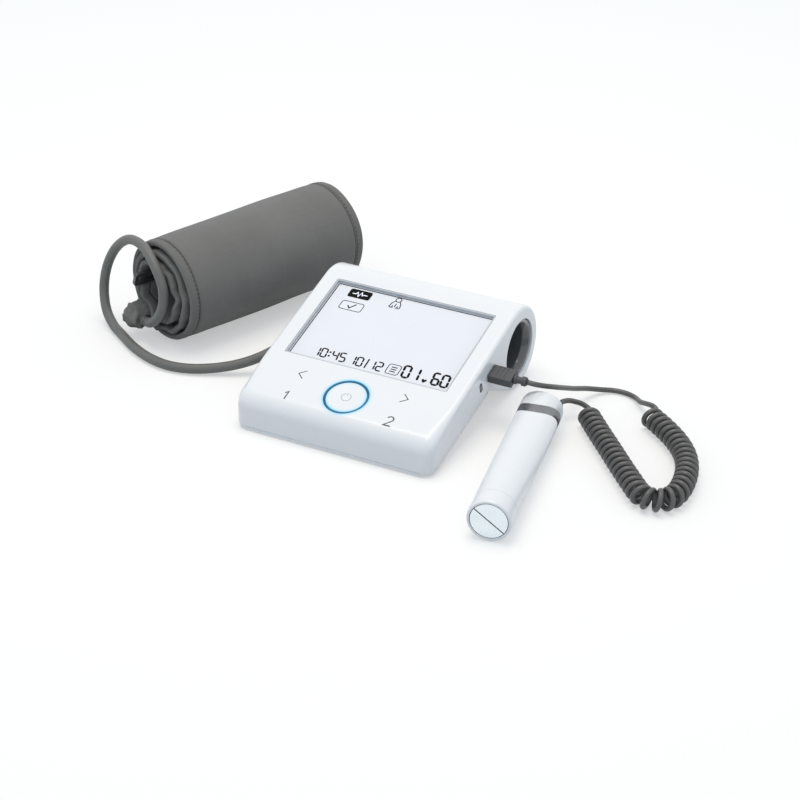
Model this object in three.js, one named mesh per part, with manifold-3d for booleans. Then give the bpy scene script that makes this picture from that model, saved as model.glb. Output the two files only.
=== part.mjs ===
// Blood pressure monitor with a rolled arm cuff on its hose and an ECG stick on a curly cord.
// Millimetres, +X to the right, +Y to the rear, +Z up. The origin is the middle of the front foot's underside.
import * as THREE from 'three';
import { mergeVertices } from 'three/addons/utils/BufferGeometryUtils.js';
import Module from 'manifold-3d';

const wasm = await Module();
wasm.setup();

// Housing
const housingWidth = 150;
const topTilt = THREE.MathUtils.degToRad(15.3);
const baseTilt = THREE.MathUtils.degToRad(13.66);
const flankTilt = THREE.MathUtils.degToRad(25);
const tubeRadius = 30.9;
const tubeY = 137.6;
const kneeY = 88.5;
const footProud = 0.8;
const noseRadius = 13;
const cornerRadius = 9;
const edgeRadius = 3.6;
const wall = 2.4;
const plateThickness = 2;
const gap = 0.3;
const frontFootY = 10;
const frontFootWidth = 110;
const frontFootDepth = 8;
const rearFootRadius = 7;
const rearFootInset = 23;
const rearFootHeight = 1.6;
const screwInset = 10;
const rearScrewInset = 6;
const frontScrewB = 8;
const rearScrewB = 69;
const screwBossRadius = 2.7;
const screwHeadRadius = 2;
const screwShankRadius = 1.1;
const screwLength = 11;
const socketLip = 3.2;

// Display
const displaySide = 12.8;
const displayDepth = 80.5;
const displayCentre = 89.75;
const displayMargin = 2.3;
const bezelWidth = 0.8;
const glassThickness = 1.1;
const backlightThickness = 2.2;
const carrierWall = 1;

// Start button, its light ring and the touch fields
const buttonS = 23.2;
const buttonRadius = 14.2;
const buttonThickness = 2;
const ringWidth = 1;
const ringFlange = 2.4;
const boardDepth = 8;
const boardThickness = 1.6;
const boardLeftInset = 31;
const boardRightInset = 6;
const boardFront = 6;
const boardRear = 41.6;
const switchHeight = 3.6;
const switchSize = 6;
const buttonTravel = 0.6;
const touchFields = [
  ['touch_pad_memory_1', -39.5, 11.5],
  ['touch_pad_memory_2', 38, 12],
  ['touch_pad_back', -39, 33.5],
  ['touch_pad_forward', 38.5, 34.5],
];
const touchRadius = 5;

// Air system
const pumpRadius = 9.2;
const pumpInset = 18.5;
const pumpFront = 12.6;
const pumpLength = 30;
const motorRadius = 7.6;
const airSocketY = 104;
const airSocketZ = 30.5;
const airSocketRadius = 5;
const airBore = 2.5;
const airTubeInset = 13.3;
const airTubeRadius = 2.4;

// Batteries
const cellRadius = 7.1;
const cellLength = 50.2;
const springLength = 4;
const contactThickness = 0.5;
const bayDivider = 1.5;
const rowSpace = 1.6;
const tubWall = 1.4;
const tubCentreB = 65.5;
const doorHookReach = 3.4;
const hookX = 35;
const hookWidth = 8;

// Stick store and side sockets
const linerRadius = 21.4;
const linerBore = 16.7;
const linerBody = 18.8;
const linerLip = 6;
const linerFloor = 1.8;
const plugS = 90;
const plugDrop = 14.9;
const plugWidth = 13;
const plugHeight = 6.8;
const plugLength = 17;
const plugShellWidth = 8.4;
const plugShellHeight = 3.4;
const plugShellLength = 7;
const socketDepth = 12;
const socketRoom = 9;
const sheetMetal = 0.5;
const slotS = 73.7;
const slotDrop = 13.9;
const slotWidth = 1.8;
const slotHeight = 4.4;

// ECG stick
const stickRadius = 14.8;
const stickWall = 1.8;
const stickLength = 145.9;
const endCapLength = 14.4;
const bandFromEnd = 31.3;
const bandHeight = 10;
const bandSweep = 12;
const saddleDip = 3.2;
const electrodeThickness = 1.2;
const electrodeRadius = 12.6;
const electrodeSplit = 0.8;
const stickBoardInset = 6;
const stickHead = new THREE.Vector2(111.3, 96.2);
const stickTurn = THREE.MathUtils.degToRad(10.66);
const cordRadius = 1.85;
const hornX = 10.6;

// Curly cord
const curlRadius = 6.1;
const curlPitch = 6;
const curlClear = 0.65;
const curlSteps = 8;
const curlSides = 5;
const coilRise = 8.1;

// Cuff and hose
const cuffCentre = new THREE.Vector2(-153.5, 157.4);
const cuffTurn = THREE.MathUtils.degToRad(-22.13);
const cuffWidth = 159.2;
const cuffOuter = 42.1;
const cuffThickness = 5.4;
const cuffSpace = 0.7;
const cuffTurns = 3.2;
const cuffSlip = 8;
const cuffStep = 24;
const cuffEndAngle = 250;
const bladderThickness = 2.6;
const bladderWidth = 134;
const bladderFrom = 620;
const bladderTo = 130;
const portAngle = 227;
const portRadius = 5.2;
const portStub = 3.1;
const portReach = 11.5;
const neckWidth = 9;
const barWidth = 11;
const barRod = 2.8;
const hoseRadius = 3.6;

const tubeZ = footProud + tubeRadius;
const topZ = tubeZ + tubeRadius / Math.cos(topTilt) - tubeY * Math.tan(topTilt);
const halfWidth = housingWidth / 2;
const innerFaceX = halfWidth - wall;
const pastSide = halfWidth + 5;
const displayWidth = housingWidth - 2 * displaySide;
const screwX = halfWidth - screwInset;
const rearScrewX = halfWidth - rearScrewInset;
const rearFootX = halfWidth - rearFootInset;
const boardLeft = boardLeftInset - halfWidth;
const boardRight = halfWidth - boardRightInset;
const pumpX = pumpInset - halfWidth;
const airTubeX = airTubeInset - halfWidth;
const bandStart = stickLength - bandFromEnd;

function paint(color, roughness, metalness = 0) {
  return new THREE.MeshStandardMaterial({ color, roughness, metalness });
}

const white = () => paint(0xf4f5f7, 0.35);
const greyPlastic = () => paint(0x5b5d60, 0.4);
const darkRubber = () => paint(0x3a3b3d, 0.8);
const steel = () => paint(0xb9bcc0, 0.3, 1);
const circuitGreen = () => paint(0x1f5c3a, 0.5);

// Closed mesh helpers
function bare(geometry) {
  const plain = geometry.clone();
  for (const name of Object.keys(plain.attributes)) {
    if (name !== 'position') plain.deleteAttribute(name);
  }
  const merged = mergeVertices(plain, 1e-4);
  const index = merged.index.array;
  const kept = [];
  for (let i = 0; i < index.length; i += 3) {
    const [a, b, c] = [index[i], index[i + 1], index[i + 2]];
    if (a !== b && b !== c && c !== a) kept.push(a, b, c);
  }
  merged.setIndex(kept);
  return merged;
}

function signedVolume(geometry) {
  const position = geometry.attributes.position;
  const index = geometry.index.array;
  const [a, b, c] = [new THREE.Vector3(), new THREE.Vector3(), new THREE.Vector3()];
  let volume = 0;
  for (let i = 0; i < index.length; i += 3) {
    a.fromBufferAttribute(position, index[i]);
    b.fromBufferAttribute(position, index[i + 1]);
    c.fromBufferAttribute(position, index[i + 2]);
    volume += a.dot(b.cross(c)) / 6;
  }
  return volume;
}

function outward(geometry) {
  const closed = bare(geometry);
  if (signedVolume(closed) < 0) {
    const index = closed.index.array;
    for (let i = 0; i < index.length; i += 3) {
      [index[i], index[i + 1]] = [index[i + 1], index[i]];
    }
  }
  return closed;
}

function toSolid(geometry) {
  const closed = outward(geometry);
  return new wasm.Manifold(new wasm.Mesh({
    numProp: 3,
    vertProperties: new Float32Array(closed.attributes.position.array),
    triVerts: new Uint32Array(closed.index.array),
  }));
}

function toGeometry(solid) {
  const mesh = solid.getMesh();
  const geometry = new THREE.BufferGeometry();
  const points = new Float32Array(mesh.numVert * 3);
  for (let i = 0; i < mesh.numVert; i++) {
    for (let k = 0; k < 3; k++) points[3 * i + k] = mesh.vertProperties[i * mesh.numProp + k];
  }
  geometry.setAttribute('position', new THREE.BufferAttribute(points, 3));
  geometry.setIndex(Array.from(mesh.triVerts));
  return geometry;
}

function combine(first, others, action) {
  let solid = toSolid(first);
  for (const other of others) solid = solid[action](toSolid(other));
  return toGeometry(solid.simplify(0.01));
}

const cut = (first, ...others) => combine(first, others, 'subtract');
const join = (first, ...others) => combine(first, others, 'add');
const common = (first, ...others) => combine(first, others, 'intersect');

function turned(geometry, x = 0, y = 0, z = 0) {
  return geometry.clone().applyMatrix4(new THREE.Matrix4().makeRotationFromEuler(new THREE.Euler(x, y, z)));
}

function moved(geometry, x, y, z) {
  return geometry.clone().translate(x, y, z);
}

function mirrored(geometry) {
  return outward(geometry.clone().scale(-1, 1, 1));
}

// A revolved solid about +Y. The profile holds [radius, height] pairs from axis to axis.
function revolve(profile, sides = 32) {
  return new THREE.LatheGeometry(profile.map(([r, y]) => new THREE.Vector2(r, y)), sides);
}

const alongX = (geometry) => turned(geometry, 0, 0, -Math.PI / 2);
const alongZ = (geometry) => turned(geometry, Math.PI / 2, 0, 0);

function rod(radius, from, to, sides = 24) {
  return revolve([[0, from], [radius, from], [radius, to], [0, to]], sides);
}

function pipe(outer, inner, from, to, sides = 32) {
  return revolve([[inner, from], [outer, from], [outer, to], [inner, to], [inner, from]], sides);
}

function box(x0, x1, y0, y1, z0, z1) {
  return moved(new THREE.BoxGeometry(x1 - x0, y1 - y0, z1 - z0), (x0 + x1) / 2, (y0 + y1) / 2, (z0 + z1) / 2);
}

function roundedRectangle(width, height, radius) {
  const [w, h] = [width / 2, height / 2];
  const shape = new THREE.Shape();
  shape.moveTo(radius - w, -h);
  shape.lineTo(w - radius, -h);
  shape.absarc(w - radius, radius - h, radius, -Math.PI / 2, 0, false);
  shape.lineTo(w, h - radius);
  shape.absarc(w - radius, h - radius, radius, 0, Math.PI / 2, false);
  shape.lineTo(radius - w, h);
  shape.absarc(radius - w, h - radius, radius, Math.PI / 2, Math.PI, false);
  shape.lineTo(-w, radius - h);
  shape.absarc(radius - w, radius - h, radius, Math.PI, 1.5 * Math.PI, false);
  return shape;
}

// A plate of the given outline from height z0 to z1.
function slab(shape, z0, z1, curveSegments = 4) {
  const geometry = new THREE.ExtrudeGeometry(shape, { depth: z1 - z0, bevelEnabled: false, curveSegments });
  return moved(geometry, 0, 0, z0);
}

// A bar along X whose section is drawn in Y and Z.
const sectionToX = new THREE.Matrix4().makeBasis(
  new THREE.Vector3(0, 1, 0),
  new THREE.Vector3(0, 0, 1),
  new THREE.Vector3(1, 0, 0),
);

function bar(shape, x0, x1, curveSegments = 4) {
  const depth = x1 - x0;
  const geometry = new THREE.ExtrudeGeometry(shape, { depth, bevelEnabled: false, curveSegments });
  return moved(geometry.applyMatrix4(sectionToX), x0, 0, 0);
}

function polygon(points) {
  return new THREE.Shape(points.map(([x, y]) => new THREE.Vector2(x, y)));
}

function sweep(points, radius, sides, step) {
  const curve = new THREE.CatmullRomCurve3(points.map((p) => new THREE.Vector3(...p)));
  const section = new THREE.Shape();
  for (let i = 0; i < sides; i++) {
    const angle = (2 * Math.PI * i) / sides;
    const [x, y] = [radius * Math.cos(angle), radius * Math.sin(angle)];
    if (i === 0) section.moveTo(x, y);
    else section.lineTo(x, y);
  }
  const steps = Math.round(curve.getLength() / step);
  return new THREE.ExtrudeGeometry(section, { steps, extrudePath: curve });
}

// The slab frame lies in the tilted top face: local X across, Y up the slope and Z out of the face.
const topFrame = new THREE.Matrix4().makeTranslation(0, 0, topZ)
  .multiply(new THREE.Matrix4().makeRotationX(topTilt));
// The base frame lies in the underside: local Y up its slope and Z into the housing.
const baseFrame = new THREE.Matrix4().makeTranslation(0, 0, footProud)
  .multiply(new THREE.Matrix4().makeRotationX(baseTilt));
const inTop = (geometry) => geometry.clone().applyMatrix4(topFrame);
const inBase = (geometry) => geometry.clone().applyMatrix4(baseFrame);

function arcPoints(cy, cz, radius, from, to, count) {
  const points = [];
  for (let i = 0; i <= count; i++) {
    const angle = THREE.MathUtils.degToRad(from + ((to - from) * i) / count);
    points.push([cy + radius * Math.cos(angle), cz + radius * Math.sin(angle)]);
  }
  return points;
}

// Side outline of the monitor: front face, nose, tilted top, storage tube, flank and knee.
function sideOutline() {
  const tilt = THREE.MathUtils.radToDeg(topTilt);
  const noseZ = topZ + noseRadius * Math.tan(topTilt) - noseRadius / Math.cos(topTilt);
  const underside = -2 * noseRadius;
  const nose = arcPoints(noseRadius, noseZ, noseRadius, 180, 90 + tilt, 6);
  const flankAngle = -90 - THREE.MathUtils.radToDeg(flankTilt);
  const tube = arcPoints(tubeY, tubeZ, tubeRadius, 90 + tilt, flankAngle, 20);
  const kneeZ = footProud + kneeY * Math.tan(baseTilt);
  const topMiddle = [];
  const [y0, z0] = nose[nose.length - 1];
  const [y1, z1] = tube[0];
  for (const share of [0.08, 0.2]) topMiddle.push([y0 + (y1 - y0) * share, z0 + (z1 - z0) * share]);
  return [[0, underside], ...nose, ...topMiddle, ...tube, [kneeY, kneeZ], [kneeY, underside]];
}

// Edge radius along the outline: wide round the front corners, small along the top and the tube.
function edgeAt(y) {
  const share = THREE.MathUtils.smoothstep(y, noseRadius * 0.5, noseRadius * 2.2);
  return THREE.MathUtils.lerp(cornerRadius, edgeRadius, share);
}

// A body across X with the outline as section, both ends rounded over by the edge radius.
function softEdged(outline, inset, edgeSteps = 3) {
  const count = outline.length;
  const inward = outline.map(([y, z], i) => {
    const [py, pz] = outline[(i + count - 1) % count];
    const [ny, nz] = outline[(i + 1) % count];
    const before = new THREE.Vector2(z - pz, py - y).normalize();
    const after = new THREE.Vector2(nz - z, y - ny).normalize();
    const mean = before.clone().add(after);
    return mean.multiplyScalar(1 / (1 + before.dot(after)));
  });
  const rings = [];
  for (const side of [-1, 1]) {
    for (let k = 0; k <= edgeSteps; k++) {
      const turn = (Math.PI / 2) * (side < 0 ? 1 - k / edgeSteps : k / edgeSteps);
      rings.push(outline.map(([y, z], i) => {
        const radius = Math.max(edgeAt(y) - inset, 0.8);
        const depth = inset + radius * (1 - Math.cos(turn));
        const x = side * (halfWidth - inset - radius * (1 - Math.sin(turn)));
        return [x, y + inward[i].x * depth, z + inward[i].y * depth];
      }));
    }
  }
  return ringsToGeometry(rings);
}

// Skin over a row of rings with equal counts, closed by flat caps.
function ringsToGeometry(rings) {
  const count = rings[0].length;
  const positions = rings.flat(2);
  const index = [];
  for (let r = 0; r + 1 < rings.length; r++) {
    for (let i = 0; i < count; i++) {
      const [a, b] = [r * count + i, r * count + ((i + 1) % count)];
      index.push(a, b, a + count, b, b + count, a + count);
    }
  }
  const last = (rings.length - 1) * count;
  for (const [face, start, flip] of [[rings[0], 0, true], [rings[rings.length - 1], last, false]]) {
    const triangles = capTriangles(face);
    for (const [a, b, c] of triangles) {
      if (flip) index.push(start + c, start + b, start + a);
      else index.push(start + a, start + b, start + c);
    }
  }
  const geometry = new THREE.BufferGeometry();
  geometry.setAttribute('position', new THREE.Float32BufferAttribute(positions, 3));
  geometry.setIndex(index);
  return outward(geometry);
}

// Triangles of a flat ring, wound as the ring runs.
function capTriangles(ring) {
  const points = ring.map((p) => new THREE.Vector3(...p));
  const centre = points.reduce((sum, p) => sum.add(p), new THREE.Vector3()).divideScalar(points.length);
  const normal = new THREE.Vector3();
  points.forEach((p, i) => {
    const next = points[(i + 1) % points.length];
    normal.add(p.clone().sub(centre).cross(next.clone().sub(centre)));
  });
  normal.normalize();
  const side = Math.abs(normal.x) > 0.9 ? new THREE.Vector3(0, 1, 0) : new THREE.Vector3(1, 0, 0);
  const u = side.clone().cross(normal).normalize();
  const v = normal.clone().cross(u);
  const flat = points.map((p) => new THREE.Vector2(p.clone().sub(centre).dot(u), p.clone().sub(centre).dot(v)));
  return THREE.ShapeUtils.triangulateShape(flat, []);
}

const part = new THREE.Group();
const monitor = new THREE.Group();
monitor.position.y = -frontFootY;
part.add(monitor);
const topGroup = new THREE.Group();
topGroup.applyMatrix4(topFrame);
const baseGroup = new THREE.Group();
baseGroup.applyMatrix4(baseFrame);
monitor.add(topGroup, baseGroup);

function add(group, name, geometry, material) {
  const closed = outward(geometry);
  closed.computeVertexNormals();
  const mesh = new THREE.Mesh(closed, material);
  mesh.name = name;
  group.add(mesh);
  return mesh;
}

// Shared sizes of the battery bay, in the base frame.
const bayLength = cellLength + springLength + contactThickness + 4 * gap;
const tubHalf = bayLength + bayDivider / 2;
const tubDepth = 4 * cellRadius + rowSpace + 2 * gap;
const tubFront = tubCentreB - tubDepth / 2;
const tubRear = tubCentreB + tubDepth / 2;
const cellLevel = plateThickness + gap + cellRadius;
const tubTop = cellLevel + cellRadius + gap;
const rowOffset = cellRadius + rowSpace / 2;

function screwSpots() {
  const spots = [];
  for (const side of [-1, 1]) {
    spots.push([side * screwX, frontScrewB], [side * rearScrewX, rearScrewB]);
  }
  return spots;
}

// Upper housing: moulded shell with the display opening, button hole, side sockets and the storage tube's wall.
function upperHousing() {
  const outline = sideOutline();
  const cavity = softEdged(outline, wall, 2);
  const seam = plateThickness + gap;
  const farUnder = -housingWidth;
  const wallB = (kneeY - wall) / Math.cos(baseTilt);
  const kneeB = (kneeY + 1) / Math.cos(baseTilt);
  const below = inBase(bar(polygon([
    [-20, farUnder], [kneeB, farUnder], [kneeB, 0], [wallB, 0], [wallB, seam], [-20, seam],
  ]), -pastSide, pastSide));
  const opening = slab(roundedRectangle(displayWidth, displayDepth, 1.2), -wall - 4, 4, 3);
  const ringOuter = buttonRadius + gap + ringWidth;
  const ringHole = alongZ(rod(ringOuter + gap, -wall - 4, 4, 36));
  const flangeSeat = alongZ(rod(ringOuter + ringFlange + gap, -wall - 4, -wall, 36));
  const bore = moved(alongX(rod(linerRadius + gap, -innerFaceX, halfWidth + 5, 32)), 0, tubeY, tubeZ);
  const plugHole = bar(roundedRectangle(
    plugShellWidth + 2 * (sheetMetal + 2 * gap),
    plugShellHeight + 2 * (sheetMetal + 2 * gap),
    1,
  ), innerFaceX - 4, halfWidth + 2);
  const slotHole = bar(roundedRectangle(slotWidth, slotHeight, 0.8), innerFaceX - 4, halfWidth + 2);
  const airHole = alongX(rod(airSocketRadius + gap, -halfWidth - 2, -innerFaceX + 4, 18));
  const rearFoot = moved(alongZ(rod(rearFootRadius + gap, -5, rearFootHeight + gap, 20)), 0, tubeY, 0);
  const shell = cut(
    softEdged(outline, 0),
    cavity,
    below,
    inTop(moved(opening, 0, displayCentre, 0)),
    inTop(moved(ringHole, 0, buttonS, 0)),
    inTop(moved(flangeSeat, 0, buttonS, 0)),
    bore,
    inTop(moved(plugHole, 0, plugS, -plugDrop)),
    inTop(moved(slotHole, 0, slotS, -slotDrop)),
    moved(airHole, 0, airSocketY, airSocketZ),
    moved(rearFoot, rearFootX, 0, 0),
    moved(rearFoot, -rearFootX, 0, 0),
  );
  const bossFoot = plateThickness + socketLip + gap;
  const post = alongZ(rod(screwBossRadius, bossFoot, 60, 12));
  const hole = alongZ(rod(screwShankRadius + gap, bossFoot - 1, bossFoot + screwLength, 10));
  const posts = screwSpots().map(([x, b]) => inBase(moved(post, x, b, 0)));
  const holes = screwSpots().map(([x, b]) => inBase(moved(hole, x, b, 0)));
  return cut(join(shell, common(join(...posts), softEdged(outline, wall * 0.6, 2))), ...holes);
}

// Base shell: floor plate with the battery tub, screw seats, board posts, pump cradles and foot recess.
function baseShell() {
  const rear = (kneeY - wall - gap) / Math.cos(baseTilt);
  const plate = common(
    softEdged(sideOutline(), 0),
    inBase(bar(polygon([[-20, 0], [rear, 0], [rear, plateThickness], [-20, plateThickness]]), -pastSide, pastSide)),
  );
  const lipShape = roundedRectangle(2 * (innerFaceX - gap), rear - 6, cornerRadius - wall);
  const hole = roundedRectangle(2 * (innerFaceX - gap - 1.2), rear - 8.4, cornerRadius - wall - 1.2);
  lipShape.holes.push(hole);
  const lip = moved(slab(lipShape, plateThickness - 0.5, plateThickness + 2), 0, rear / 2 + 2.2, 0);
  const tub = box(
    -tubHalf - tubWall, tubHalf + tubWall,
    tubFront - tubWall, tubRear + tubWall,
    plateThickness - 1, tubTop + tubWall,
  );
  const bays = [-1, 1].map((side) => {
    const near = bayDivider / 2;
    return box(
      Math.min(side * near, side * tubHalf), Math.max(side * near, side * tubHalf),
      tubFront, tubRear, -1, tubTop,
    );
  });
  const mouth = box(-tubHalf, tubHalf, tubFront, tubRear, -1, plateThickness + gap);
  const hookSlots = [-hookX, hookX].map((x) => box(
    x - hookWidth / 2 - 1, x + hookWidth / 2 + 1,
    tubFront - tubWall - 1, tubFront + 1, plateThickness, plateThickness + 5,
  ));
  let shell = join(plate, inBase(lip), inBase(tub));
  const posts = [];
  for (const [x, b] of screwSpots()) {
    posts.push(alongZ(rod(screwHeadRadius + 1, 0.5, plateThickness + socketLip, 12)).translate(x, b, 0));
  }
  shell = join(shell, ...posts.map(inBase));
  const cutters = [...bays, mouth, ...hookSlots].map(inBase);
  for (const [x, b] of screwSpots()) {
    const headSeat = alongZ(rod(screwHeadRadius + gap, -1, plateThickness + socketLip - 1.2, 12));
    const shank = alongZ(rod(screwShankRadius + gap, -1, plateThickness + socketLip + 1, 10));
    cutters.push(inBase(headSeat.translate(x, b, 0)), inBase(shank.translate(x, b, 0)));
  }
  shell = cut(shell, ...cutters);
  const boardUnder = -boardDepth - boardThickness - gap;
  const extra = [];
  for (const x of [boardLeft + 6, boardRight - 8]) {
    for (const s of [boardFront + 6, boardRear - 5]) {
      const post = inTop(moved(alongZ(rod(2.4, -40, boardUnder, 12)), x, s, 0));
      extra.push(common(post, inBase(box(-pastSide, pastSide, -20, kneeY, 0.5, 40))));
    }
  }
  const cradleTop = plateThickness + gap + pumpRadius * 0.6;
  const seat = rod(pumpRadius + gap, 0, 80, 18);
  for (const b of [pumpFront + 4, pumpFront + pumpLength - 6]) {
    const block = box(pumpX - pumpRadius, pumpX + pumpRadius, b, b + 2, plateThickness - 1, cradleTop);
    const cradle = cut(block, moved(seat, pumpX, 0, plateThickness + gap + pumpRadius));
    extra.push(inBase(cradle));
  }
  shell = join(shell, ...extra);
  const recess = box(
    -frontFootWidth / 2 - gap, frontFootWidth / 2 + gap,
    frontFootY - frontFootDepth / 2 - gap, frontFootY + frontFootDepth / 2 + gap, -20, 60,
  );
  const recessDepth = common(recess, inBase(box(-pastSide, pastSide, -20, kneeY, -20, 0.7)));
  return cut(shell, recessDepth);
}

// Front foot: rubber strip with a flat underside and a sloped top that follows the base plate.
function frontFoot() {
  const strip = box(
    -frontFootWidth / 2, frontFootWidth / 2,
    frontFootY - frontFootDepth / 2, frontFootY + frontFootDepth / 2, 0, 20,
  );
  return cut(strip, inBase(box(-pastSide, pastSide, -40, kneeY, 0.7 - gap, 60)));
}

// Battery door: plate with two front hooks and a latch tongue between two slits.
function batteryDoor() {
  const plate = slab(roundedRectangle(2 * (tubHalf - gap), tubDepth - 2 * gap, 0.8), 0, plateThickness, 2);
  const front = -tubDepth / 2 + gap;
  const rear = tubDepth / 2;
  const arm = polygon([
    [front + 1.6, plateThickness - 0.5], [front + 1.6, plateThickness + 1.5],
    [front - doorHookReach, plateThickness + 1.5], [front - doorHookReach, plateThickness + gap],
    [front, plateThickness + gap], [front, plateThickness - 0.5],
  ]);
  const hooks = [-hookX, hookX].map((x) => bar(arm, x - hookWidth / 2, x + hookWidth / 2));
  const slits = [-7, 7].map((x) => box(x - 0.4, x + 0.4, rear - 8, rear + 1, -1, plateThickness + 1));
  const grips = [3, 5, 7].map((y) => box(-5.5, 5.5, rear - y - 0.4, rear - y + 0.4, -1, 0.5));
  return moved(cut(join(plate, ...hooks), ...slits, ...grips), 0, tubCentreB, 0);
}

// One AA cell along X: can, insulating step and positive pip.
function cell() {
  const pipRadius = cellRadius * 0.37;
  return alongX(revolve([
    [0, -cellLength / 2], [cellRadius - 0.4, -cellLength / 2], [cellRadius, -cellLength / 2 + 0.4],
    [cellRadius, cellLength / 2 - 1.9], [cellRadius - 0.6, cellLength / 2 - 1.3], [pipRadius, cellLength / 2 - 1.3],
    [pipRadius, cellLength / 2], [0, cellLength / 2],
  ], 14));
}

// Contact strip across both rows of a bay's end, facing +X, its cone spring on one row.
function contactStrip(springRow) {
  const plate = box(0, contactThickness, -rowOffset - 4.5, rowOffset + 4.5, -5, 5);
  const cone = alongX(revolve([[0, 0.1], [4.6, 0.1], [4.4, 1], [2.6, springLength], [0, springLength]], 12));
  return join(plate, moved(cone, 0, springRow * rowOffset, 0));
}

// Case screw along Z with a slotted head, its head at the given level of the base frame.
function caseScrew() {
  const head = plateThickness + socketLip - 1.2 - gap;
  const profile = [
    [0, head - 1.8], [screwHeadRadius, head - 1.8], [screwHeadRadius, head], [screwShankRadius, head],
    [screwShankRadius, head + screwLength], [0, head + screwLength + 1],
  ];
  return cut(alongZ(revolve(profile, 12)), box(-2, 2, -0.35, 0.35, head - 3, head - 1));
}

add(monitor, 'upper_housing', upperHousing(), white());
add(monitor, 'base_shell', baseShell(), white());
add(monitor, 'front_foot', frontFoot(), darkRubber());
for (const [name, side] of [['rear_foot_left', -1], ['rear_foot_right', 1]]) {
  const foot = alongZ(revolve([
    [0, 0], [rearFootRadius - 0.4, 0], [rearFootRadius, 0.4], [rearFootRadius, rearFootHeight], [0, rearFootHeight],
  ], 20));
  add(monitor, name, moved(foot, side * rearFootX, tubeY, 0), darkRubber());
}
add(baseGroup, 'battery_door', batteryDoor(), white());
let cellNumber = 1;
for (const side of [-1, 1]) {
  for (const row of [-1, 1]) {
    const outwards = side * row > 0;
    const near = bayDivider / 2 + gap + (outwards ? springLength : contactThickness) + gap;
    const turnedCell = outwards === side > 0 ? cell() : mirrored(cell());
    const mesh = add(baseGroup, `battery_${cellNumber}`, turnedCell, paint(0x2f3b4c, 0.35, 0.4));
    mesh.position.set(side * (near + cellLength / 2), tubCentreB + row * rowOffset, cellLevel);
    cellNumber += 1;
  }
}
const innerWall = bayDivider / 2 + gap;
const outerWall = tubHalf - gap;
for (const [name, x, facing, springRow] of [
  ['contact_left_outer', -outerWall, 1, 1],
  ['contact_left_inner', -innerWall, -1, -1],
  ['contact_right_inner', innerWall, 1, 1],
  ['contact_right_outer', outerWall, -1, -1],
]) {
  const strip = contactStrip(springRow);
  const mesh = add(baseGroup, name, facing > 0 ? strip : mirrored(strip), steel());
  mesh.position.set(x, tubCentreB, cellLevel);
}
screwSpots().forEach(([x, b], i) => {
  const mesh = add(baseGroup, `case_screw_${i + 1}`, caseScrew(), steel());
  mesh.position.set(x, b, 0);
});

// Display stack, hung under the opening of the top face.
const glassTop = -wall - gap;
const glassWidth = displayWidth + 2 * displayMargin;
const glassDepth = displayDepth + 2 * displayMargin;

function displayGasket() {
  const ring = roundedRectangle(displayWidth - 2 * gap, displayDepth - 2 * gap, 1);
  ring.holes.push(roundedRectangle(displayWidth - 2 * (gap + bezelWidth), displayDepth - 2 * (gap + bezelWidth), 0.6));
  return slab(ring, glassTop + gap, -0.25, 2);
}

function displayCarrier() {
  const bottom = glassTop - glassThickness - gap - backlightThickness;
  const outer = roundedRectangle(glassWidth + 2 * (gap + carrierWall), glassDepth + 2 * (gap + carrierWall), 1.5);
  const tray = slab(outer, bottom - 0.6, glassTop, 2);
  const room = slab(roundedRectangle(glassWidth + 2 * gap, glassDepth + 2 * gap, 0.8), bottom - gap, 2, 1);
  const ledge = slab(roundedRectangle(glassWidth - 14, glassDepth - 14, 2), bottom - 3, bottom, 1);
  return cut(tray, room, ledge);
}

const display = new THREE.Group();
display.position.y = displayCentre;
topGroup.add(display);
add(display, 'display_gasket', displayGasket(), paint(0x4a4f57, 0.6));
const glass = slab(roundedRectangle(glassWidth, glassDepth, 0.6), glassTop - glassThickness, glassTop, 2);
add(display, 'lcd_panel', glass, paint(0xe9eefc, 0.15));
const lightTop = glassTop - glassThickness - gap;
const lightGuide = slab(roundedRectangle(glassWidth, glassDepth, 0.6), lightTop - backlightThickness + gap, lightTop, 2);
add(display, 'backlight_panel', lightGuide, paint(0xf6f9ff, 0.4));
add(display, 'display_carrier', displayCarrier(), paint(0x2c2e31, 0.6));

// Start button, light ring, switch, board and touch fields.
const control = new THREE.Group();
control.position.y = buttonS;
topGroup.add(control);
const stemReach = boardDepth - switchHeight - gap - buttonTravel - gap;

function startButton() {
  const cap = revolve([
    [0, -buttonThickness], [buttonRadius, -buttonThickness], [buttonRadius, -0.5], [buttonRadius - 0.4, -0.15],
    [buttonRadius - 1.2, 0], [0, -0.35],
  ], 36);
  const stem = rod(3, -stemReach, -buttonThickness + 0.5, 16);
  return join(alongZ(cap), alongZ(stem));
}

function ringLight() {
  const inner = buttonRadius + gap;
  const outer = inner + ringWidth;
  const flangeTop = -wall - gap;
  return alongZ(revolve([
    [inner, flangeTop - 1.2], [outer + ringFlange, flangeTop - 1.2], [outer + ringFlange, flangeTop],
    [outer, flangeTop], [outer, -0.1], [inner, -0.1], [inner, flangeTop - 1.2],
  ], 32));
}

add(control, 'start_button', startButton(), white());
add(control, 'ring_light', ringLight(), paint(0x2f8fd0, 0.3));
const switchTop = -boardDepth + gap + switchHeight;
const switchBody = join(
  box(-switchSize / 2, switchSize / 2, -switchSize / 2, switchSize / 2, -boardDepth + gap, switchTop - 0.6),
  alongZ(rod(1.7, switchTop - 1, switchTop, 16)),
);
add(control, 'start_switch', switchBody, paint(0x1d1e20, 0.5));

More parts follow.
